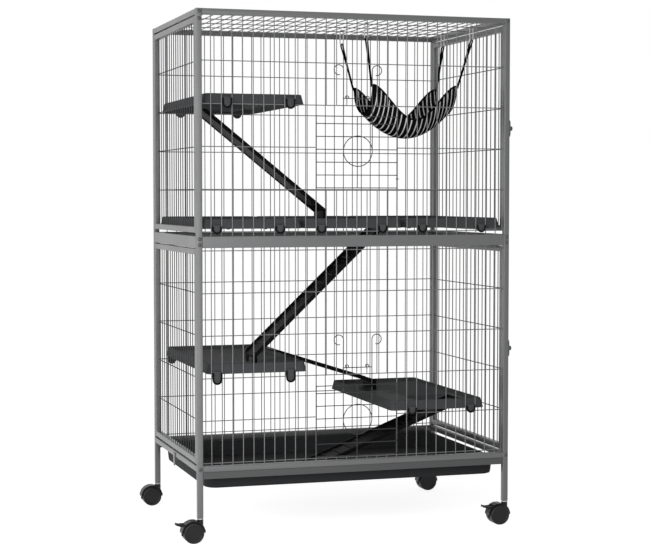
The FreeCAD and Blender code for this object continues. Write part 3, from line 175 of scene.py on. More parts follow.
class Pile:
    """Vertices, faces and UVs gathered from whole arrays, for one mesh."""

    def __init__(self):
        self.points, self.uvs, self.faces, self.count = [], [], [], 0

    def grid(self, p, close_u=False, close_v=False, uv=None):
        """Quads over p[u, v, xyz]; a closed direction joins its last row to its first."""
        nu, nv = p.shape[:2]
        index = np.arange(nu * nv).reshape(nu, nv) + self.count
        a = np.vstack([index, index[:1]]) if close_u else index
        a = np.hstack([a, a[:, :1]]) if close_v else a
        quads = np.stack([a[:-1, :-1], a[1:, :-1], a[1:, 1:], a[:-1, 1:]], axis=-1).reshape(-1, 4)
        self.faces += quads.tolist()
        self.points.append(p.reshape(-1, 3))
        flat = np.zeros((nu * nv, 2)) if uv is None else uv.reshape(-1, 2)
        self.uvs.append(flat)
        self.count += nu * nv
        return index

    def cap(self, ring):
        """One face over a ring of indices."""
        self.faces.append([int(i) for i in ring])

    def many(self, p, ends=True):
        """Tubes p[tube, row, side, xyz], each closed round its sides, with flat end faces."""
        n, rows, sides = p.shape[:3]
        index = np.arange(n * rows * sides).reshape(n, rows, sides) + self.count
        turn = np.roll(index, -1, axis=2)
        quads = np.stack([index[:, :-1], turn[:, :-1], turn[:, 1:], index[:, 1:]], axis=-1).reshape(-1, 4)
        self.faces += quads.tolist()
        if ends:
            self.faces += index[:, 0, ::-1].tolist() + index[:, -1].tolist()
        self.points.append(p.reshape(-1, 3))
        self.uvs.append(np.zeros((n * rows * sides, 2)))
        self.count += n * rows * sides

    def make(self, name, material, smooth_deg):
        """Mesh object at the origin with outward faces."""
        mesh = bpy.data.meshes.new(name)
        mesh.from_pydata(np.vstack(self.points).tolist(), [], self.faces)
        uv = mesh.uv_layers.new(name="UVMap")
        corner = np.zeros(len(mesh.loops), dtype=np.int64)
        mesh.loops.foreach_get("vertex_index", corner)
        uv.data.foreach_set("uv", np.vstack(self.uvs)[corner].ravel())
        mesh.validate()
        piece = bpy.data.objects.new(name, mesh)
        bpy.context.scene.collection.objects.link(piece)
        bpy.context.view_layer.objects.active = piece
        piece.select_set(True)
        bpy.ops.object.mode_set(mode="EDIT")
        bpy.ops.mesh.select_all(action="SELECT")
        bpy.ops.mesh.normals_make_consistent(inside=False)
        bpy.ops.object.mode_set(mode="OBJECT")
        mesh.shade_smooth()
        mesh.set_sharp_from_angle(angle=math.radians(smooth_deg))
        piece.select_set(False)
        mesh.materials.append(material)
        return piece


def ride_along(piece, node):
    """Detail that rides with a node's body without hiding it."""
    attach(piece, BODY_OF[node])
    return piece


def stand_for(piece, node):
    """Piece that rides with a node's body and shows in its place."""
    ride_along(piece, node)
    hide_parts(node)


def dress(pile, node, material, smooth_deg=SMOOTH_DEG):
    """Shows a pile in a node's place."""
    stand_for(pile.make("dressed_" + node, material, smooth_deg), node)


def detail(pile, name, node, material, smooth_deg=SMOOTH_DEG):
    """Adds a pile to a node as a piece of its own."""
    return ride_along(pile.make(name, material, smooth_deg), node)


def points_of(node):
    """Places of a node's vertices as rows."""
    thing = frame["nodes"][node]
    points = np.zeros(len(thing.data.vertices) * 3)
    thing.data.vertices.foreach_get("co", points)
    turn = np.array(thing.matrix_world)
    return points.reshape(-1, 3) @ turn[:3, :3].T + turn[:3, 3]


def solids_of(node):
    """Boxes [solid, low/high, xyz] of a node's separate solids: each triangle's corners take the lowest label
    among them until no label changes."""
    points = points_of(node)
    mesh = frame["nodes"][node].data
    mesh.calc_loop_triangles()
    corners = np.zeros(len(mesh.loop_triangles) * 3, dtype=np.int64)
    mesh.loop_triangles.foreach_get("vertices", corners)
    merged = np.unique(np.round(points, 6), axis=0, return_inverse=True)[1].ravel()
    triangles = merged[corners].reshape(-1, 3)
    label = np.arange(merged.max() + 1)
    while True:
        before = label.copy()
        lowest = label[triangles].min(axis=1)
        np.minimum.at(label, triangles.ravel(), np.repeat(lowest, 3))
        if np.array_equal(before, label):
            break
    names, group = np.unique(label[merged], return_inverse=True)
    low = np.full((len(names), 3), np.inf)
    high = np.full((len(names), 3), -np.inf)
    np.minimum.at(low, group.ravel(), points)
    np.maximum.at(high, group.ravel(), points)
    return np.stack([low, high], axis=1)


def circle(sides, start=0.0):
    """Unit circle as cosine and sine columns."""
    a = start + np.arange(sides) * FULL_TURN / sides
    return np.stack([np.cos(a), np.sin(a)], axis=-1)


def along_axis(boxes, axis, profile_u, profile_v, rows):
    """Prisms p[bar, row, side, xyz]: profile points across two axes, carried along the third at each row's
    share."""
    low, high = boxes[:, 0], boxes[:, 1]
    u, v = [k for k in range(3) if k != axis]
    mid = (low + high) / 2
    n, sides = len(boxes), profile_u.shape[-1]
    p = np.zeros((n, len(rows), sides, 3))
    p[..., axis] = (low[:, axis, None] + (high - low)[:, axis, None] * rows)[:, :, None]
    p[..., u] = mid[:, u, None, None] + profile_u[:, None, :]
    p[..., v] = mid[:, v, None, None] + profile_v[:, None, :]
    return p


def by_axis(boxes):
    """Boxes in lots, each with the axis of its boxes' longest side."""
    longest = (boxes[:, 1] - boxes[:, 0]).argmax(axis=1)
    return [(axis, boxes[longest == axis]) for axis in range(3) if (longest == axis).any()]


def round_wires(pile, boxes, sides):
    """Round bars: a circle of the box's half thickness, carried along its longest side."""
    ring = circle(sides)
    for axis, some in by_axis(boxes):
        half = np.sort(some[:, 1] - some[:, 0], axis=1)[:, :1] / 2
        pile.many(along_axis(some, axis, half * ring[:, 0], half * ring[:, 1], np.array([0.0, 1.0])))


def corners_round(steps):
    """Angles of the points on four quarter-circle corners, and the signs of each point's corner."""
    a = (np.arange(steps) / (steps - 1) * math.pi / 2 + np.arange(4)[:, None] * math.pi / 2).ravel()
    return a, np.repeat(np.array([[1, 1], [-1, 1], [-1, -1], [1, -1]]), steps, axis=0)


def round_tubes(pile, boxes, radius, steps=5):
    """Square tubes: a rectangle with quarter-circle corners, carried along the longest side."""
    a, way = corners_round(steps)
    for axis, some in by_axis(boxes):
        u, v = [k for k in range(3) if k != axis]
        half = (some[:, 1] - some[:, 0]) / 2
        pu = way[:, 0] * (half[:, u, None] - radius) + radius * np.cos(a)
        pv = way[:, 1] * (half[:, v, None] - radius) + radius * np.sin(a)
        pile.many(along_axis(some, axis, pu, pv, np.array([0.0, 1.0])))


def swept(pile, path, flat, radius, sides, closed=False):
    """Round wire along a flat path: at each point a circle spanned by the path plane's normal and the
    normal's cross product with the mean of the two neighbouring steps."""
    if closed:
        ahead, behind = np.roll(path, -1, axis=0), np.roll(path, 1, axis=0)
    else:
        ahead, behind = np.vstack([path[1:], path[-1:]]), np.vstack([path[:1], path[:-1]])
    step = ahead - behind
    step /= np.linalg.norm(step, axis=1, keepdims=True)
    flat = np.broadcast_to(np.asarray(flat, dtype=float), path.shape)
    side = np.cross(flat, step)
    ring = circle(sides)
    p = path[:, None] + radius * (ring[None, :, :1] * flat[:, None] + ring[None, :, 1:] * side[:, None])
    if closed:
        pile.grid(p, close_u=True, close_v=True)
    else:
        capped(pile, p)


def turned(pile, profile, place, axis, segments):
    """Body of revolution: profile (radius, distance along the axis) turned about an axis through place."""
    axis = np.asarray(axis, dtype=float)
    first = np.cross(axis, [0.0, 0.0, 1.0]) if abs(axis[2]) < 0.9 else np.array([1.0, 0.0, 0.0])
    second = np.cross(axis, first)
    ring = circle(segments)
    round_dir = ring[:, :1] * first + ring[:, 1:] * second
    capped(pile, np.asarray(place) + profile[:, None, 1:] * axis + profile[:, None, :1] * round_dir[None])


def arc(centre, radius, start, end, steps):
    """Points (a, b) of a circular arc in a plane, angles in radians."""
    a = np.linspace(start, end, steps)
    return np.stack([centre[0] + radius * np.cos(a), centre[1] + radius * np.sin(a)], axis=-1)


def full_circle(centre, radius, count):
    """Points (a, b) of a whole circle, each once."""
    return arc(centre, radius, 0, FULL_TURN, count + 1)[:-1]


def round_ends(centre, reach, radius, count):
    """Points (a, b) of two half circles, set apart by the reach both ways along b."""
    return np.vstack([arc((centre[0], centre[1] + reach), radius, 0, math.pi, count),
                      arc((centre[0], centre[1] - reach), radius, math.pi, FULL_TURN, count)])


def upright(outline, y):
    """Outline (x, z) set upright at one depth."""
    return np.stack([outline[:, 0], np.full(len(outline), y), outline[:, 1]], axis=-1)


def loop_rows(middle, half, rows, steps=ROUNDING_POINTS):
    """Stack of rectangles with round corners p[row, point, xyz]: each row (inset, corner radius, height)
    shrinks the half sizes by its inset."""
    inset, radius, height = np.asarray(rows, dtype=float).T
    a, way = corners_round(steps)
    reach_x = half[0] - inset - radius
    reach_y = half[1] - inset - radius
    x = middle[0] + way[:, 0] * reach_x[:, None] + radius[:, None] * np.cos(a)
    y = middle[1] + way[:, 1] * reach_y[:, None] + radius[:, None] * np.sin(a)
    return np.stack([x, y, np.broadcast_to(height[:, None], x.shape)], axis=-1)


def capped(pile, p):
    """Stack of rings p[row, point, xyz], closed round and at both ends."""
    index = pile.grid(p, close_v=True)
    pile.cap(index[0][::-1])
    pile.cap(index[-1])


def math_node(tree, operation, *given):
    """Output of a Math node, fed by other outputs or plain numbers."""
    node = tree.nodes.new("ShaderNodeMath")
    node.operation = operation
    for value, socket in zip(given, node.inputs):
        if isinstance(value, bpy.types.NodeSocket):
            tree.links.new(value, socket)
        else:
            socket.default_value = value
    return node.outputs[0]


def bump_to(tree, height, distance, strength):
    """Turns a height output into the shader's normal; the distance is in metres."""
    bumper = tree.nodes.new("ShaderNodeBump")
    bumper.inputs["Distance"].default_value = distance
    bumper.inputs["Strength"].default_value = strength
    tree.links.new(height, bumper.inputs["Height"])
    tree.links.new(bumper.outputs["Normal"], tree.nodes["Principled BSDF"].inputs["Normal"])


def new_material(label):
    """Material with its node tree."""
    material = bpy.data.materials.new(label)
    material.use_nodes = True
    return material, material.node_tree


def effect_group(name, inputs, outputs):
    """Empty shader node group with named sockets."""
    tree = bpy.data.node_groups.new(name, "ShaderNodeTree")
    for label, kind, value in inputs:
        socket = tree.interface.new_socket(label, in_out="INPUT", socket_type=kind)
        socket.default_value = value
    for label, kind in outputs:
        tree.interface.new_socket(label, in_out="OUTPUT", socket_type=kind)
    return tree, tree.nodes.new("NodeGroupInput"), tree.nodes.new("NodeGroupOutput")


def speckle_group():
    """Fine grain: two noise textures on Object coordinates give a tint, a roughness shift and a height."""
    name = "surface_grain"
    if name in bpy.data.node_groups:
        return bpy.data.node_groups[name]
    colour, number = "NodeSocketColor", "NodeSocketFloat"
    tree, given, out = effect_group(
        name,
        [("Colour", colour, (0.5, 0.5, 0.5, 1)), ("Grain", number, 900.0), ("Cloud", number, 9.0),
         ("Tint", number, 0.12), ("Rough", number, 0.45), ("Rough spread", number, 0.15)],
        [("Colour", colour), ("Roughness", number), ("Height", number)])
    link = tree.links.new
    where = tree.nodes.new("ShaderNodeTexCoord")
    noise = {}
    for socket, fineness in (("Grain", 3.0), ("Cloud", 5.0)):
        texture = tree.nodes.new("ShaderNodeTexNoise")
        texture.inputs["Detail"].default_value = fineness
        link(where.outputs["Object"], texture.inputs["Vector"])
        link(given.outputs[socket], texture.inputs["Scale"])
        noise[socket] = texture.outputs["Fac"]
    shift = math_node(tree, "SUBTRACT", noise["Cloud"], 0.5)
    tint = math_node(tree, "MULTIPLY_ADD", shift, given.outputs["Tint"], 1.0)
    shade = tree.nodes.new("ShaderNodeVectorMath")
    shade.operation = "SCALE"
    link(given.outputs["Colour"], shade.inputs[0])
    link(tint, shade.inputs["Scale"])
    rough = math_node(tree, "MULTIPLY_ADD", shift, given.outputs["Rough spread"], given.outputs["Rough"])
    link(shade.outputs[0], out.inputs["Colour"])
    link(rough, out.inputs["Roughness"])
    link(noise["Grain"], out.inputs["Height"])
    return tree


def grained(name, colour, rough, grain, bump, tint=0.12, cloud=9.0, metal=0.0, clear=0.0, gleam=0.5):
    """Material, made once, from a colour setting and the shared grain, with a bump in metres."""
    label = "dressed_" + name
    if label in bpy.data.materials:
        return bpy.data.materials[label]
    material, tree = new_material(label)
    shader = tree.nodes["Principled BSDF"]
    shader.inputs["Metallic"].default_value = metal
    shader.inputs["Coat Weight"].default_value = clear
    shader.inputs["Specular IOR Level"].default_value = gleam
    group = tree.nodes.new("ShaderNodeGroup")
    group.node_tree = speckle_group()
    group.inputs["Colour"].default_value = (*getattr(bpy.context.scene.cage_finish, colour), 1)
    for socket, value in (("Grain", grain), ("Cloud", cloud), ("Tint", tint), ("Rough", rough)):
        group.inputs[socket].default_value = value
    tree.links.new(group.outputs["Colour"], shader.inputs["Base Color"])
    tree.links.new(group.outputs["Roughness"], shader.inputs["Roughness"])
    bump_to(tree, group.outputs["Height"], bump, strength=0.5)
    return material


def coat_paint():
    """Satin powder coat with orange peel."""
    return grained("powder_coat", "coat", rough=0.32, grain=700.0, bump=0.0002, tint=0.08, gleam=0.75)


def wire_coat():
    """Powder coat on the welded mesh, thinner and duller than on the tubes."""
    return grained("wire_coat", "wire", rough=0.45, grain=700.0, bump=0.0001, tint=0.08)


def shaded_door_wire_coat():
    """Powder coat darkened as painted shade, on the wire of the small doors, the latches and the side panels.
    """
    return grained("shaded_door_wire_coat", "shaded_thin_wire", rough=0.5, grain=700.0, bump=0.0001, gleam=0.2)


def shaded_runner_coat():
    """Powder coat of the tray's runners, darkened as painted shade."""
    return grained("shaded_runner_coat", "runner", rough=0.45, grain=700.0, bump=0.0002, tint=0.08, gleam=0.4)


def shelf_plastic():
    """Moulded matt plastic of the platforms."""
    return grained("shelf_plastic", "shelf", rough=0.7, grain=1400.0, bump=0.0003, tint=0.1, gleam=0.08)


def ramp_plastic():
    """Darker moulded plastic of the ramps."""
    return grained("ramp_plastic", "ramp", rough=0.5, grain=1400.0, bump=0.0003, gleam=0.05)


def tray_plastic():
    """Smooth moulded plastic of the tray."""
    return grained("tray_plastic", "tray", rough=0.6, grain=900.0, bump=0.0002, tint=0.1, cloud=5.0,
                   gleam=0.04)


def caster_plastic():
    """Black nylon of the casters."""
    return grained("caster_plastic", "caster", rough=0.36, grain=1100.0, bump=0.0002, tint=0.15, gleam=0.25)


def knob_plastic():
    """Glossy black plastic of the turn knobs."""
    return grained("knob_plastic", "knob", rough=0.25, grain=900.0, bump=0.0001, clear=0.3)


def white_plastic():
    """Glossy white plastic of rings and sleeves."""
    return grained("white_plastic", "white", rough=0.32, grain=900.0, bump=0.0001, tint=0.05)


def screw_coat():
    """Dark coated steel of the frame's screws."""
    return grained("coated_screw", "screw", rough=0.4, grain=1200.0, bump=0.0001, tint=0.2)


def plain_steel():
    """Zinc-plated steel of pins and axles."""
    return grained("zinc_steel", "steel", rough=0.35, grain=1600.0, bump=0.0001, tint=0.2, metal=1.0)


def panel_tubes(node):
    """Boxes of a framed panel's two stiles and two rails, as thick as the panel."""
    low, high = box_of(node)
    tube = high[0] - low[0]
    front, back = low[1] + tube, high[1] - tube
    spans = ((low[1], front, low[2], high[2]), (back, high[1], low[2], high[2]),
             (front, back, low[2], low[2] + tube), (front, back, high[2] - tube, high[2]))
    return np.array([[[low[0], y0, z0], [high[0], y1, z1]] for y0, y1, z0, z1 in spans])


def build_tubes():
    """Posts, rails and the framed panels as rounded square tube, and the panels' mesh as round wire."""
    shape = bpy.context.scene.cage_shape
    for node in POSTS + RAILS:
        pile = Pile()
        round_tubes(pile, solids_of(node), shape.tube_round)
        dress(pile, node, coat_paint())
    for node in PANELS:
        pile = Pile()
        round_tubes(pile, panel_tubes(node), shape.tube_round)
        boxes = solids_of(node)
        thin = np.sort(boxes[:, 1] - boxes[:, 0], axis=1)[:, 1] < THIN
        wires = Pile()
        round_wires(wires, boxes[thin], shape.wire_sides)
        # The panels' mesh takes the darker wire coat: painted shade
        detail(wires, "mesh_of_" + node, node, shaded_door_wire_coat())
        dress(pile, node, coat_paint())


def build_grids():
    """Front, back and roof mesh as round wire."""
    for node in GRIDS:
        pile = Pile()
        round_wires(pile, solids_of(node), bpy.context.scene.cage_shape.wire_sides)
        dress(pile, node, wire_coat())


# Small front doors: least width of a pull ring, the stile's inset from the hinge, and the eyes' from the ends
PULL_RING_LEAST = 0.03
HINGE_INSET = 0.002
HINGE_EYE_INSET = 0.022


def pull_ring(pile, low, high, radius):
    """Round ring, with two uprights that rise from its sides to the door's upper bar."""
    reach = (high[0] - low[0]) / 2 - radius
    centre = np.array([(low[0] + high[0]) / 2, (low[1] + high[1]) / 2, low[2] + radius + reach])
    loop = full_circle((centre[0], centre[2]), reach, RING_POINTS)
    swept(pile, upright(loop, centre[1]), (0.0, 1.0, 0.0), radius, SMALL_WIRE_SIDES, closed=True)
    around = np.array([radius, radius, 0.0])
    for side in (-1, 1):
        foot = centre + np.array([side * reach, 0.0, 0.0])
        top = np.array([foot[0], foot[1], high[2]])
        round_wires(pile, np.array([[foot - around, top + around]]), SMALL_WIRE_SIDES)


def hinge_side(pile, low, high, radius):
    """Stile beside the hinge, and its two eyes round the mesh upright."""
    x, mid_y = (low[0] + high[0]) / 2, (low[1] + high[1]) / 2
    front = low[1] + radius
    stile = x - HINGE_INSET
    round_wires(pile, np.array([[[stile - radius, front - radius, low[2]],
                                 [stile + radius, front + radius, high[2]]]]), SMALL_WIRE_SIDES)
    inset = HINGE_EYE_INSET + radius
    loop = full_circle((x, mid_y), mid_y - front, EYE_POINTS)
    for z in (low[2] + inset, high[2] - inset):
        path = np.column_stack([loop, np.full(len(loop), z)])
        swept(pile, path, (0.0, 0.0, 1.0), radius, SMALL_WIRE_SIDES, closed=True)


def build_front_doors():
    """Small wire doors: straight bars, hinge eyes round the mesh upright, and the ring."""
    for level in LEVELS:
        node = level + "_front_door"
        boxes = solids_of(node)
        size = boxes[:, 1] - boxes[:, 0]
        bars = np.sort(size, axis=1)[:, 1] < THIN
        radius = float(np.sort(size[bars], axis=1)[0, 0]) / 2
        pile = Pile()
        round_wires(pile, boxes[bars], SMALL_WIRE_SIDES)
        for low, high in boxes[~bars]:
            bend = pull_ring if high[0] - low[0] > PULL_RING_LEAST else hinge_side
            bend(pile, low, high, radius)
        # Door wire in the darker coat: painted shade
        dress(pile, node, shaded_door_wire_coat())


# Sliding latches: wire radius, points of a curl, the crossbar's distance behind the uprights and above the
# doorway's upper cross wire, and the tilt of the eyes in radians
LATCH_RADIUS = 0.0011
CURL_POINTS = 40
BAR_STEP = 0.002
BAR_RISE = 0.017
EYE_TILT = 0.9


def build_latches():
    """Sliding latches: a crossbar, tilted eyes round two mesh uprights, and uprights that end in curls."""
    shape = bpy.context.scene.cage_shape
    radius, curl_r = LATCH_RADIUS, shape.curl_radius
    turn = np.linspace(0, shape.curl_turn, CURL_POINTS)
    lean, rise = math.cos(EYE_TILT), math.sin(EYE_TILT)
    for level in LEVELS:
        node = level + "_door_latch"
        low, high = box_of(node)
        middle = (low[0] + high[0]) / 2
        reach = (high[0] - low[0]) / 2 - 2 * curl_r - radius
        front = low[1] + radius
        pile = Pile()
        for side in (-1, 1):
            centre = (middle + side * (reach + curl_r), high[2] - radius - curl_r)
            curl = np.stack([centre[0] - side * curl_r * np.cos(turn), np.full(CURL_POINTS, front),
                             centre[1] + curl_r * np.sin(turn)], axis=-1)
            foot = np.array([[middle + side * reach, front, low[2]]])
            swept(pile, np.vstack([foot, curl]), (0.0, 1.0, 0.0), radius, SMALL_WIRE_SIDES)
        bar_y, bar_z = front + BAR_STEP, bar_height(level)
        bar = np.array([[[middle - reach - radius, bar_y - radius, bar_z - radius],
                         [middle + reach + radius, bar_y + radius, bar_z + radius]]])
        round_wires(pile, bar, SMALL_WIRE_SIDES)
        eye_r = (high[1] - radius - bar_y) / 2
        pitch = float(np.diff(grid_lines(level)[0]).min())
        loop = full_circle((0.0, 0.0), eye_r, EYE_POINTS)
        for side in (-1, 1):
            path = np.column_stack([middle + side * pitch + loop[:, 0], bar_y + (eye_r + loop[:, 1]) * lean,
                                    bar_z + (eye_r + loop[:, 1]) * rise])
            swept(pile, path, (0.0, -rise, lean), radius, SMALL_WIRE_SIDES, closed=True)
        # Latch wire in the darker coat: painted shade
        dress(pile, node, shaded_door_wire_coat())


def grid_lines(level):
    """Sorted X of a front mesh's full uprights and Z of its cross wires."""
    boxes = solids_of(level + "_front_mesh")
    size, middle = boxes[:, 1] - boxes[:, 0], boxes.mean(axis=1)
    longest = size.max(axis=0)
    return (np.sort(middle[size[:, 2] > longest[2] - THIN, 0]),
            np.sort(middle[size[:, 0] > size[:, 2], 2]))


def bar_height(level):
    """Height of a latch's crossbar, above the doorway's upper cross wire."""
    heights = grid_lines(level)[1]
    door_top = box_of(level + "_front_door")[1][2]
    return float(heights[heights > door_top][0]) + BAR_RISE


class CAGE_OT_tubes(Operator):
    """Square tubes of the frame, the fixed panels and the side doors"""
    bl_idname = "cage.tubes"
    bl_label = "Frame tubes"

    def execute(self, context):
        build_tubes()
        return {"FINISHED"}


class CAGE_OT_grids(Operator):
    """Welded mesh of the front, back and roof"""
    bl_idname = "cage.grids"
    bl_label = "Welded mesh"

    def execute(self, context):
        build_grids()
        return {"FINISHED"}


class CAGE_OT_wire_doors(Operator):
    """Small front doors and their latches"""
    bl_idname = "cage.wire_doors"
    bl_label = "Wire doors and latches"

    def execute(self, context):
        build_front_doors()
        build_latches()
        return {"FINISHED"}


def paint(nodes, material):
    """Gives CAD nodes that keep their own shape a material."""
    for node in nodes:
        mesh = frame["nodes"][node].data
        mesh.materials.clear()
        mesh.materials.append(material)


def hook_marks(node):
    """X of a platform's two hooks, and the lowest and highest Z of their tongues outside the mesh."""
    points = points_of(node)
    tongue = points[points[:, 1] < points[:, 1].min() + THIN / 2]
    left = tongue[:, 0] < (tongue[:, 0].min() + tongue[:, 0].max()) / 2
    places = [(x.min() + x.max()) / 2 for x in (tongue[left, 0], tongue[~left, 0])]
    return places, tongue[:, 2].min(), tongue[:, 2].max()


# Hooks: the tongue's sizes, its outer face's and the platform wall's distance from the middle, and how much
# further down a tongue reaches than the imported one
HOOK_HALF = 0.010
HOOK_SHEET = 0.003
HOOK_EDGE = 0.0008
HOOK_POINTS = 15
HOOK_FACE = 0.2622
HOOK_WALL = 0.248
TONGUE_DROP = {"top_left_shelf": 0.006}

# Raised rim of a tongue, in the darker ramp plastic as painted shade
RIM_RADIUS = 0.0022
RIM_SIDES = 8

# Web over the cross wire and leg on the platform's wall, as blocks with soft edges
WEB_GAP = 0.0016
WEB_SHEET = 0.0035
LEG_SHEET = 0.0018
BLOCK_ROUND = 0.0006
BLOCK_EDGE = 0.0004
BLOCK_STEPS = 4


def soft_block(pile, low, high):
    """Box with round upright corners and bevelled ends."""
    low, high = np.array(low), np.array(high)
    rows = [(BLOCK_EDGE, BLOCK_ROUND, low[2]), (0.0, BLOCK_ROUND, low[2] + BLOCK_EDGE),
            (0.0, BLOCK_ROUND, high[2] - BLOCK_EDGE), (BLOCK_EDGE, BLOCK_ROUND, high[2])]
    capped(pile, loop_rows((low + high) / 2, (high - low) / 2, rows, BLOCK_STEPS))


def bevelled(outline, centre, thick, edge, half):
    """Depths and outlines (a, b) through a plate: at both faces the outline is drawn in to its centre by the
    edge's share of the half width."""
    steps = ((0.0, edge), (edge, 0.0), (thick - edge, 0.0), (thick, edge))
    return [(depth, outline + (centre - outline) * (shrink / half)) for depth, shrink in steps]


def shelf_hooks(pile, rims, node, bottom):
    """Hooks over the cross wires: a tongue outside the mesh with a half-round end and cut top corners, its
    raised rim as a second pile, and a web to the wall."""
    places, low_z, top_z = hook_marks(node)
    heights = np.concatenate([grid_lines(level)[1] for level in LEVELS])
    web_low = float(heights[heights > low_z].min()) + WEB_GAP
    low_mid = low_z - TONGUE_DROP.get(node, 0.0) + HOOK_HALF
    for x in places:
        left, right = x - HOOK_HALF, x + HOOK_HALF
        tip = arc((x, low_mid), HOOK_HALF, math.pi, FULL_TURN, HOOK_POINTS)
        ears = np.array([[left, top_z - HOOK_SHEET], [right, top_z - HOOK_SHEET]])
        head = np.array([ears[1], [right - HOOK_SHEET, top_z], [left + HOOK_SHEET, top_z], ears[0]])
        plate = bevelled(np.vstack([tip, head]), np.array([x, (low_mid + top_z) / 2]), HOOK_SHEET, HOOK_EDGE,
                         HOOK_HALF)
        rim = np.vstack([ears[:1], tip, ears[1:]])
        for side in (-1, 1):
            face, wall = side * HOOK_FACE, side * HOOK_WALL
            capped(pile, np.array([upright(ring, face - side * depth) for depth, ring in plate]))
            swept(rims, upright(rim, face), (0.0, 1.0, 0.0), RIM_RADIUS, RIM_SIDES)
            web = np.sort([face - side * HOOK_SHEET / 2, wall])
            soft_block(pile, (left, web[0], web_low), (right, web[1], web_low + WEB_SHEET))
            leg = np.sort([wall, wall + side * LEG_SHEET])
            soft_block(pile, (left, leg[0], web_low), (right, leg[1], bottom + HOOK_SHEET))


# Platforms: the rim stands above the deck, and small roundings are shares of the edge
SHELF_FLARE = 0.005
SHELF_HEIGHT = 0.024
SHELF_WALL = 0.003
SHELF_RIM = 0.009
SHELF_HALF_DEPTH = 0.251
SHELF_OUTER_R = 0.012
SHELF_INNER_R = 0.009
SHELF_EDGE = 0.002

# Ramp holes: half sizes, corner radius, hanging flange, and distance from the ramp's head
HOLE_HALF = (0.058, 0.069)
HOLE_R = 0.020
HOLE_FLANGE = 0.010
TONGUE_TO_HOLE = 0.070


def shelf_rows(top):
    """Section of a platform as rows (inset, corner radius, height), from under the deck round the flared wall
    and the rim to the sunk deck; the inset grows with the height above the wall's foot."""
    bottom, deck = top - SHELF_HEIGHT, top - SHELF_RIM
    under = deck - SHELF_WALL
    outer, inner, wall, edge = SHELF_OUTER_R, SHELF_INNER_R, SHELF_WALL, SHELF_EDGE

    def out(z):
        return SHELF_FLARE / SHELF_HEIGHT * (z - bottom)
    return [(out(under) + wall + 1.5 * edge, inner, under), (out(under) + wall, inner, under - edge),
            (wall, inner, bottom + 0.3 * edge), (wall - 0.3 * edge, inner, bottom),
            (0.4 * edge, outer, bottom), (0.0, outer, bottom + 0.4 * edge),
            (out(top - 0.6 * edge), outer, top - 0.6 * edge),
            (out(top) + 0.2 * edge, outer, top - 0.15 * edge), (out(top) + 0.5 * edge, outer, top),
            (out(top) + wall - 0.5 * edge, inner, top),
            (out(top) + wall - 0.1 * edge, inner, top - 0.3 * edge),
            (out(deck) + wall + 0.5 * edge, inner, deck + 1.5 * edge),
            (out(deck) + wall + edge, inner, deck + 0.4 * edge), (out(deck) + wall + 2 * edge, inner, deck)]


def hole_rows(deck):
    """Edge of a ramp hole as rows (inset, corner radius, height): over the rounded edge, down the flange and
    up its outside."""
    under = deck - SHELF_WALL
    wide, fine = 0.75 * SHELF_EDGE, 0.2 * SHELF_EDGE
    rows = [(-wide, deck), (-fine, deck - fine), (0.0, deck - wide), (0.0, under - HOLE_FLANGE),
            (-SHELF_WALL, under - HOLE_FLANGE), (-SHELF_WALL, under)]
    return [(inset, HOLE_R - inset, height) for inset, height in rows]


def build_shelves():
    """Platforms: a stack of rounded rectangles, closed through the ramp hole if there is one, and hooks."""
    for node in SHELVES:
        low, high = box_of(node)
        top = high[2]
        half = ((high[0] - low[0]) / 2, SHELF_HALF_DEPTH)
        p = loop_rows((low + high) / 2, half, shelf_rows(top))
        pile = Pile()
        if node in HOLES:
            ramp, way = HOLES[node]
            ramp_low, ramp_high = box_of(ramp)
            head = ramp_low[0] if way > 0 else ramp_high[0]
            place = (head + way * TONGUE_TO_HOLE, (ramp_low[1] + ramp_high[1]) / 2)
            edge = loop_rows(place, HOLE_HALF, hole_rows(top - SHELF_RIM))
            pile.grid(np.concatenate([p, edge]), close_u=True, close_v=True)
        else:
            capped(pile, p)
        dress(pile, node, shelf_plastic(), MOULDED_DEG)
        hooks, rims = Pile(), Pile()
        shelf_hooks(hooks, rims, node, top - SHELF_HEIGHT)
        detail(hooks, "hooks_" + node, node, shelf_plastic(), MOULDED_DEG)
        # The hooks' rims take the dark ramp plastic: painted shade round the tongues
        detail(rims, "shaded_hook_rims_" + node, node, ramp_plastic(), MOULDED_DEG)


# Tray: small roundings are shares of the edge
TRAY_LIP = 0.0075
TRAY_WALL = 0.0025
TRAY_DRAFT = 0.004
TRAY_CORNER_R = 0.030
TRAY_EDGE = 0.001
TRAY_STEPS = 12


def build_tray():
    """Tray: rounded rectangles from the outer floor up the drafted wall, over the lip, and down inside."""
    low, high = box_of("tray")
    bottom, top = low[2], high[2]
    lip, wall, draft, r, edge = TRAY_LIP, TRAY_WALL, TRAY_DRAFT, TRAY_CORNER_R, TRAY_EDGE
    rows = [(lip + draft + 5 * edge, r - 4 * edge, bottom),
            (lip + draft + 1.5 * edge, r - edge, bottom + 1.2 * edge), (lip + draft, r, bottom + 5 * edge),
            (lip + edge, r, top - wall - edge), (lip - 0.5 * edge, r, top - wall),
            (0.8 * edge, r, top - wall), (0.0, r, top - wall + 0.8 * edge), (0.0, r, top - 0.8 * edge),
            (0.8 * edge, r, top),
            (lip + wall - 0.8 * edge, r - 2 * edge, top), (lip + wall, r - 2.5 * edge, top - 0.8 * edge),
            (lip + wall + draft - 0.4 * edge, r - 2.5 * edge, bottom + 8 * edge),
            (lip + wall + draft + edge, r - 3 * edge, bottom + wall + 1.2 * edge),
            (lip + wall + draft + 5 * edge, r - 6 * edge, bottom + wall)]
    pile = Pile()
    capped(pile, loop_rows((low + high) / 2, (high - low) / 2, rows, TRAY_STEPS))
    dress(pile, "tray", tray_plastic(), MOULDED_DEG)


# Plate across a ramp's foot, inset from the ramp's sides and lifted off what it stands on
FOOT_PLATE = 0.005
FOOT_INSET = 0.004
FOOT_HEIGHT = 0.022
FOOT_ROUND = 0.0005
FOOT_LIFT = 0.001


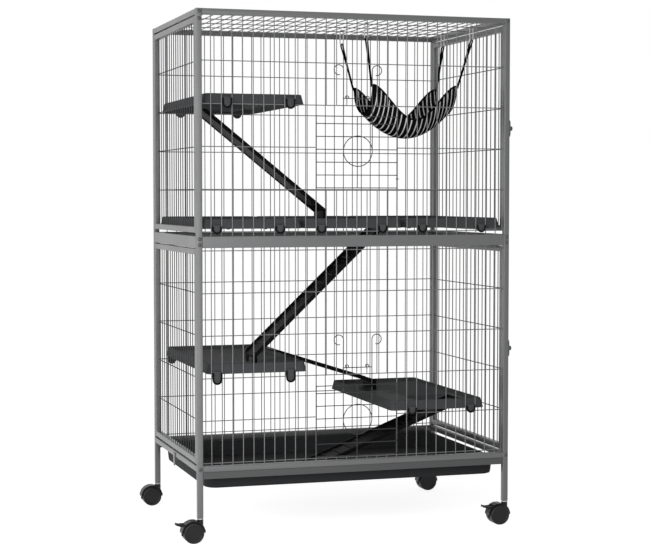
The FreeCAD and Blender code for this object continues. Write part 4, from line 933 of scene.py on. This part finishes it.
def build_ramp_feet():
    """Plate across the notch in the foot of each ramp that runs down to the right."""
    for node in ("top_ramp", "cross_ramp"):
        low, high = box_of(node)
        middle = (high[0] - FOOT_PLATE, (low[1] + high[1]) / 2)
        half = (FOOT_PLATE / 2, (high[1] - low[1]) / 2 - FOOT_INSET)
        rows = [(0.0, FOOT_ROUND, low[2] + rise) for rise in (FOOT_LIFT, FOOT_HEIGHT)]
        pile = Pile()
        capped(pile, loop_rows(middle, half, rows, BLOCK_STEPS))
        detail(pile, node + "_foot", node, ramp_plastic())


class CAGE_OT_mouldings(Operator):
    """Platforms, ramps and tray"""
    bl_idname = "cage.mouldings"
    bl_label = "Platforms, ramps and tray"

    def execute(self, context):
        build_shelves()
        build_tray()
        build_ramp_feet()
        paint(RAMPS, ramp_plastic())
        paint(["tray_pull_tab"], coat_paint())
        # The runners take the darker coat: painted shade
        paint(["tray_runners"], shaded_runner_coat())
        return {"FINISHED"}


# Screw heads: the dome's circle has its centre in the post, and a socket is sunk in the crown
DOME_R = 0.0064
DOME_SINK = 0.004
DOME_ANGLES = (math.radians(38.6), math.radians(76))
HEAD_R = 0.005
HEAD_SINK = 0.0002
HEAD_SEAT = 0.0024
SOCKET_R = 0.0015
SOCKET_RIM = 0.0012
SOCKET_FLOOR = 0.001
HEAD_SIDES = 24


def build_screws():
    """Pan-head screws: a dome turned about the post's face normal, with a small socket."""
    pile = Pile()
    dome = arc((0.0, -DOME_SINK), DOME_R, *DOME_ANGLES, ROUNDING_POINTS)
    socket = [[SOCKET_R, SOCKET_RIM], [AXIS_GAP / 2, SOCKET_FLOOR]]
    profile = np.vstack([[[HEAD_R, -HEAD_SINK]], dome, socket])
    for low, high in solids_of("frame_screws"):
        middle = (low + high) / 2
        side = 1.0 if middle[1] > 0 else -1.0
        seat = high[1] - HEAD_SEAT if side > 0 else low[1] + HEAD_SEAT
        turned(pile, profile, (middle[0], seat, middle[2]), (0.0, side, 0.0), HEAD_SIDES)
    dress(pile, "frame_screws", screw_coat())


# Turn buttons: the plate, and the knob's foot, waist and rounded crown
BUTTON_HALF = 0.0065
BUTTON_EDGE = 0.0004
BUTTON_PLATE = 0.0022
BUTTON_POINTS = 14
KNOB_FOOT_R = 0.0066
KNOB_WAIST_R = 0.0062
KNOB_WAIST_RISE = 0.0036
KNOB_CROWN = 0.0042
KNOB_ROUND = 0.0018
KNOB_HEIGHT = KNOB_CROWN + KNOB_ROUND
KNOB_SIDES = 28


def build_turn_buttons():
    """Turn plates with round ends, and a domed knob turned about the pivot."""
    crown = arc((KNOB_CROWN, KNOB_CROWN), KNOB_ROUND, 0, math.pi / 2, ROUNDING_POINTS)
    foot = [[KNOB_FOOT_R, 0.0], [KNOB_WAIST_R, KNOB_WAIST_RISE]]
    profile = np.vstack([foot, crown, [[AXIS_GAP, KNOB_HEIGHT]]])
    for level in LEVELS:
        node = level + "_turn_button"
        low, high = box_of(node)
        middle = ((low + high) / 2)[1:]
        inner = high[0] - BUTTON_PLATE - KNOB_HEIGHT
        ends = round_ends(middle, (high[2] - low[2]) / 2 - BUTTON_HALF, BUTTON_HALF, BUTTON_POINTS)
        rows = [np.column_stack([np.full(len(ring), inner + depth), ring])
                for depth, ring in bevelled(ends, middle, BUTTON_PLATE, BUTTON_EDGE, BUTTON_HALF)]
        plate = Pile()
        capped(plate, np.array(rows))
        dress(plate, node, coat_paint())
        knob = Pile()
        turned(knob, profile, (inner + BUTTON_PLATE, *middle), (1.0, 0.0, 0.0), KNOB_SIDES)
        detail(knob, "knob_" + node, node, knob_plastic())


# Wheels: bore, inner edge, rounded shoulder, and the disc's radius and dish
WHEEL_BORE = 0.0032
WHEEL_EDGE = 0.001
WHEEL_ROUND = 0.004
WHEEL_SIDES = 48
DISC_R = 0.0198
DISC_DISH = 0.0012


def build_wheels():
    """Twin wheels: one rounded and dished profile turned about the axle, facing outwards on both sides."""
    for corner in CORNERS:
        pile = Pile()
        boxes = solids_of(corner + "_wheels")
        hub = (boxes[:, 0].min(axis=0) + boxes[:, 1].max(axis=0)) / 2
        for low, high in boxes:
            side = 1.0 if (low[1] + high[1]) / 2 > hub[1] else -1.0
            near = abs((low[1] if side > 0 else high[1]) - hub[1])
            face = near + (high[1] - low[1])
            radius = (high[2] - low[2]) / 2
            middle = (radius - WHEEL_ROUND, face - WHEEL_ROUND)
            shoulder = arc(middle, WHEEL_ROUND, 0, math.pi / 2, ROUNDING_POINTS)
            inside = [[WHEEL_BORE, near], [radius - WHEEL_EDGE, near], [radius, near + WHEEL_EDGE]]
            disc = [[DISC_R, face], [DISC_R - DISC_DISH * 2 / 3, face - DISC_DISH / 3],
                    [DISC_R - DISC_DISH * 7 / 6, face - DISC_DISH], [AXIS_GAP, face - DISC_DISH]]
            turned(pile, np.vstack([inside, shoulder, disc]), hub, (0.0, side, 0.0), WHEEL_SIDES)
        dress(pile, corner + "_wheels", caster_plastic())


# Cloth: softness of a stripe's edge, threads and their unevenness, and the threads' height
STRIPE_BLUR = 0.0003
THREAD_SCALE = 260.0
THREAD_WAVER = 1.5
THREAD_HEIGHT = 0.0004


def cloth_material():
    """Knit cloth with woven stripes across: bands on the sheet's own UV lengths, with a fine thread bump."""
    colours, shape = bpy.context.scene.cage_finish, bpy.context.scene.cage_shape
    material, tree = new_material("dressed_hammock_cloth")
    link = tree.links.new
    shader = tree.nodes["Principled BSDF"]
    shader.inputs["Roughness"].default_value = 0.9
    shader.inputs["Specular IOR Level"].default_value = 0.0
    where = tree.nodes.new("ShaderNodeUVMap")
    apart = tree.nodes.new("ShaderNodeSeparateXYZ")
    link(where.outputs["UV"], apart.inputs[0])
    band = tree.nodes.new("ShaderNodeMapRange")
    half = shape.stripe_width / 2
    for socket, value in (("From Min", half - STRIPE_BLUR), ("From Max", half + STRIPE_BLUR), ("To Min", 1.0),
                          ("To Max", 0.0)):
        band.inputs[socket].default_value = value
    link(math_node(tree, "PINGPONG", apart.outputs["X"], shape.stripe_pitch / 2), band.inputs["Value"])
    blend = tree.nodes.new("ShaderNodeMix")
    blend.data_type = "RGBA"
    blend.inputs[6].default_value = (*colours.cloth, 1)
    blend.inputs[7].default_value = (*colours.stripe, 1)
    link(band.outputs[0], blend.inputs[0])
    link(blend.outputs[2], shader.inputs["Base Color"])
    thread = tree.nodes.new("ShaderNodeTexWave")
    thread.inputs["Scale"].default_value = THREAD_SCALE
    thread.inputs["Distortion"].default_value = THREAD_WAVER
    link(where.outputs["UV"], thread.inputs["Vector"])
    bump_to(tree, thread.outputs["Fac"], THREAD_HEIGHT, strength=0.6)
    return material


def webbing():
    """Black woven webbing."""
    return grained("black_webbing", "webbing", rough=0.85, grain=1500.0, bump=0.0005, tint=0.25, gleam=0.0)


# Hammock: sag of the long edges, of the ends, and of the middle below the edges, the power that rounds the
# edges' sag, folds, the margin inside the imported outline, points along and across, and the bound edge
SAG_EDGE = 0.089
SAG_END = 0.072
SAG_MIDDLE = 0.046
EDGE_POWER = 1.6
FOLD_HEIGHT = 0.0022
FOLD_WAVES = 9
CLOTH_MARGIN = 0.002
CLOTH_POINTS = (49, 33)
CLOTH_SMOOTH_DEG = 180.0
BINDING_RADIUS = 0.0024
BINDING_SIDES = 10


def bed_surface():
    """Hanging cloth p[u, v]: each cross section is an arc whose middle sags as a parabola along the length
    and whose edges sag as a power of a cosine, with shallow folds running in from the corners."""
    low, high = box_of("hammock_bed")
    u, v = np.meshgrid(*(np.linspace(-1, 1, count) for count in CLOTH_POINTS), indexing="ij")
    edge = high[2] - SAG_EDGE * np.cos(u * math.pi / 2) ** EDGE_POWER
    lowest = high[2] - SAG_END - (SAG_EDGE + SAG_MIDDLE - SAG_END) * (1 - u ** 2)
    deep = edge - lowest
    half = (high[1] - low[1]) / 2
    spread = 2 * np.arctan(deep / half)
    bend = half / np.sin(spread)
    far_u, far_v = np.abs(u), np.abs(v)
    fold = FOLD_HEIGHT * np.sin(FOLD_WAVES * (far_u + far_v)) * (far_u * far_v) ** 2 * (1 - far_v ** 8)
    reach = bend - CLOTH_MARGIN + fold
    middle = (low + high) / 2
    x = middle[0] + u * ((high[0] - low[0]) / 2 - CLOTH_MARGIN)
    y = middle[1] + reach * np.sin(v * spread)
    z = edge - deep + bend - reach * np.cos(v * spread)
    return np.stack([x, y, z], axis=-1)


def build_hammock():
    """Striped cloth, its bound edge, and the webbing straps that hold it."""
    p = bed_surface()
    along = np.linalg.norm(np.diff(p, axis=0), axis=2)
    across = np.linalg.norm(np.diff(p, axis=1), axis=2)
    length = np.vstack([np.zeros(p.shape[1]), np.cumsum(along, axis=0)])
    width = np.hstack([np.zeros((p.shape[0], 1)), np.cumsum(across, axis=1)])
    length = np.broadcast_to(length.mean(axis=1, keepdims=True), length.shape)
    pile = Pile()
    pile.grid(p, uv=np.stack([length, width], axis=-1))
    cloth = pile.make("hammock_cloth", cloth_material(), CLOTH_SMOOTH_DEG)
    thick = cloth.modifiers.new("thickness", "SOLIDIFY")
    thick.thickness = bpy.context.scene.cage_shape.cloth_thick
    thick.offset = 0.0
    stand_for(cloth, "hammock_bed")
    normal = np.cross(np.gradient(p, axis=0), np.gradient(p, axis=1))
    normal /= np.linalg.norm(normal, axis=2, keepdims=True)
    border, facing = [np.concatenate([q[:, 0], q[-1, 1:], q[-2::-1, -1], q[0, -2:0:-1]]) for q in (p, normal)]
    edging = Pile()
    swept(edging, border, facing, BINDING_RADIUS, BINDING_SIDES, closed=True)
    binding = detail(edging, "hammock_binding", "hammock_bed", webbing())
    build_straps()


# Straps: the webbing, its bend round the ring's bar, the gap outside the cloth's ends, and points of the bend
# and of the strip's round edge
STRAP_WIDTH = 0.010
STRAP_SHEET = 0.0013
STRAP_BEND = 0.0028
STRAP_GAP = 0.001
STRAP_BEND_POINTS = 12
STRAP_EDGE_POINTS = 6

# Rings: bar radius and points of a round end
RING_BAR = 0.0015
RING_END_POINTS = 16


def build_straps():
    """Webbing: a loop of flat strip from the cloth's corner up, round the ring's lower bar and back down."""
    rings = solids_of("hammock_rings")
    ring_middle = rings.mean(axis=1)
    bed_low, bed_high = box_of("hammock_bed")
    bed, bed_half = (bed_low + bed_high) / 2, (bed_high - bed_low) / 2
    thin = STRAP_SHEET / 2
    edge = arc((STRAP_WIDTH / 2 - thin, 0.0), thin, -math.pi / 2, math.pi / 2, STRAP_EDGE_POINTS)
    outline = np.vstack([edge, -edge])
    a = np.linspace(0, math.pi, STRAP_BEND_POINTS)[:, None]
    pile = Pile()
    for low, high in solids_of("hammock_straps"):
        middle = (low + high) / 2
        out = np.sign(middle - bed)
        near = np.argmin(np.linalg.norm((ring_middle - middle)[:, :2], axis=1))
        bar = np.append(ring_middle[near, :2], rings[near, 0, 2] + RING_BAR)
        corner = np.array([bed[0] + out[0] * (bed_half[0] + STRAP_GAP),
                           bed[1] + out[1] * (bed_half[1] - STRAP_WIDTH / 2), low[2]])
        down = corner - bar
        down /= np.linalg.norm(down)
        flat = np.array([0.0, 1.0, 0.0]) - down * down[1]
        flat /= np.linalg.norm(flat)
        face = np.cross(down, flat)
        apart = 1.2 * thin * face
        round_bar = bar + STRAP_BEND * (np.cos(a) * face - np.sin(a) * down)
        half_way = (bar + corner) / 2
        path = np.vstack([corner + apart, half_way + apart, round_bar, half_way - apart, corner - apart])
        step = np.gradient(path, axis=0)
        step /= np.linalg.norm(step, axis=1, keepdims=True)
        lift = np.cross(flat, step)
        capped(pile, path[:, None] + outline[None, :, :1] * flat + outline[None, :, 1:] * lift[:, None])
    dress(pile, "hammock_straps", webbing())


def build_rings():
    """Long rings of round white plastic bar hung over the roof wires."""
    pile = Pile()
    for low, high in solids_of("hammock_rings"):
        x, y, z = (low + high) / 2
        reach = (high[0] - low[0]) / 2 - RING_BAR
        run = (high[2] - low[2]) / 2 - RING_BAR - reach
        loop = round_ends((x, z), run, reach, RING_END_POINTS)
        swept(pile, upright(loop, y), (0.0, 1.0, 0.0), RING_BAR, SMALL_WIRE_SIDES, closed=True)
    dress(pile, "hammock_rings", white_plastic())


class CAGE_OT_hammock(Operator):
    """Hammock with its straps and rings"""
    bl_idname = "cage.hammock"
    bl_label = "Hammock"

    def execute(self, context):
        build_hammock()
        build_rings()
        return {"FINISHED"}


class CAGE_OT_hardware(Operator):
    """Screws, pins, turn buttons and casters"""
    bl_idname = "cage.hardware"
    bl_label = "Hardware and casters"

    def execute(self, context):
        build_screws()
        build_turn_buttons()
        build_wheels()
        paint(["side_door_hinge_pins"] + [c + "_axle" for c in CORNERS], plain_steel())
        paint([c + "_caster_hood" for c in CORNERS] + ["front_left_brake_lever", "front_right_brake_lever"],
              caster_plastic())
        paint(["caster_sleeves"], white_plastic())
        return {"FINISHED"}


class CAGE_OT_stage(Operator):
    """Floor, lights and camera"""
    bl_idname = "cage.stage"
    bl_label = "Studio"

    def execute(self, context):
        build_stage(context.scene)
        return {"FINISHED"}


def seen_rays(tree):
    """Output that is one for camera, mirror and transmission rays: the largest of the three flags."""
    ray = tree.nodes.new("ShaderNodeLightPath")
    flag = ray.outputs["Is Camera Ray"]
    for other in ("Is Glossy Ray", "Is Transmission Ray"):
        flag = math_node(tree, "MAXIMUM", flag, ray.outputs[other])
    return flag


def floor_paper(glow):
    """White paper: a diffuse floor, to which camera and mirror rays add an even glow over the shadow."""
    material, tree = new_material("white_paper")
    link = tree.links.new
    tree.nodes.remove(tree.nodes["Principled BSDF"])
    paper = tree.nodes.new("ShaderNodeBsdfDiffuse")
    paper.inputs["Color"].default_value = (*PAPER_COLOUR, 1)
    lit = tree.nodes.new("ShaderNodeEmission")
    link(math_node(tree, "MULTIPLY", seen_rays(tree), glow), lit.inputs["Strength"])
    both = tree.nodes.new("ShaderNodeAddShader")
    link(paper.outputs[0], both.inputs[0])
    link(lit.outputs[0], both.inputs[1])
    link(both.outputs[0], tree.nodes["Material Output"].inputs["Surface"])
    return material


# Studio: the floor's half width and colour, each light's square, place and aim, and the camera's sensor in
# millimetres and furthest view
FLOOR_HALF = 12.0
PAPER_COLOUR = (0.8, 0.8, 0.8)
KEY_LIGHT = (2.0, (-4.0, -1.6, 1.5), (0.0, 0.0, 0.6))
FILL_LIGHT = (1.4, (-0.6, -1.7, 0.75), (0.0, 0.0, 0.65))
SENSOR_WIDTH = 36.0
FAR_CLIP = 100.0


def build_surround(scene, sky):
    """Even white light all round, at full strength where it is seen."""
    world = bpy.data.worlds.new("studio")
    scene.world = world
    world.use_nodes = True
    nodes, link = world.node_tree.nodes, world.node_tree.links.new
    back = nodes["Background"]
    level = nodes.new("ShaderNodeMix")
    level.inputs[2].default_value = sky
    level.inputs[3].default_value = 1.0
    link(seen_rays(world.node_tree), level.inputs[0])
    link(level.outputs[0], back.inputs["Strength"])
    back.inputs["Color"].default_value = (1, 1, 1, 1)


def build_light(scene, name, power, size, place, aim):
    """Square light, hidden from the camera and turned so that it shines along its line to the aim."""
    lamp = bpy.data.lights.new(name, "AREA")
    lamp.energy = power
    lamp.size = size
    holder = bpy.data.objects.new(name, lamp)
    scene.collection.objects.link(holder)
    holder.visible_camera = False
    holder.location = place
    away = np.array(place) - np.array(aim)
    holder.rotation_euler = (math.atan2(math.hypot(away[0], away[1]), away[2]), 0,
                             math.atan2(away[1], away[0]) + math.pi / 2)


def build_stage(scene):
    """Pale floor, one large light on the left, one in front, an even surround, and the camera."""
    stage = scene.cage_stage
    scene.view_settings.view_transform = "Standard"
    floor = Pile()
    span = np.array([-FLOOR_HALF, FLOOR_HALF])
    x, y = np.meshgrid(span, span, indexing="ij")
    floor.grid(np.stack([x, y, np.zeros_like(x)], axis=-1))
    piece = floor.make("studio_floor", floor_paper(stage.floor_glow), SMOOTH_DEG)
    build_surround(scene, stage.sky)
    build_light(scene, "key_light", stage.key, *KEY_LIGHT)
    build_light(scene, "fill_light", stage.fill, *FILL_LIGHT)
    camera = bpy.data.cameras.new("photo_camera")
    camera.sensor_width = SENSOR_WIDTH
    camera.lens = stage.lens
    camera.clip_end = FAR_CLIP
    holder = bpy.data.objects.new("photo_camera", camera)
    scene.collection.objects.link(holder)
    holder.location = (stage.place[0] + FRAME_X, stage.place[1], stage.place[2])
    holder.rotation_euler = (math.pi / 2 - stage.pitch, 0, -stage.yaw)
    scene.camera = holder


class CAGE_PT_panel(Panel):
    """Lists the cage's steps"""
    bl_label = "Cage"
    bl_idname = "CAGE_PT_panel"
    bl_space_type = "VIEW_3D"
    bl_region_type = "UI"
    bl_category = "Cage"

    def draw(self, context):
        for step in STEPS:
            self.layout.operator(step.bl_idname)


STEPS = (CAGE_OT_tubes, CAGE_OT_grids, CAGE_OT_wire_doors, CAGE_OT_mouldings, CAGE_OT_hammock,
         CAGE_OT_hardware, CAGE_OT_stage)
GROUPS = (("cage_finish", CageFinish), ("cage_shape", CageShape), ("cage_stage", CageStage))


def register():
    """Adds the classes and the scene's settings."""
    for name, group in GROUPS:
        bpy.utils.register_class(group)
        setattr(bpy.types.Scene, name, PointerProperty(type=group))
    for step in STEPS + (CAGE_PT_panel,):
        bpy.utils.register_class(step)


def unregister():
    """Takes them away again."""
    for step in (CAGE_PT_panel,) + STEPS[::-1]:
        bpy.utils.unregister_class(step)
    for name, group in GROUPS[::-1]:
        delattr(bpy.types.Scene, name)
        bpy.utils.unregister_class(group)


def main():
    """Dresses the frame step by step."""
    register()
    bpy.ops.cage.tubes()
    bpy.ops.cage.grids()
    bpy.ops.cage.wire_doors()
    bpy.ops.cage.mouldings()
    bpy.ops.cage.hammock()
    bpy.ops.cage.hardware()
    bpy.ops.cage.stage()


if __name__ == "__main__":
    main()
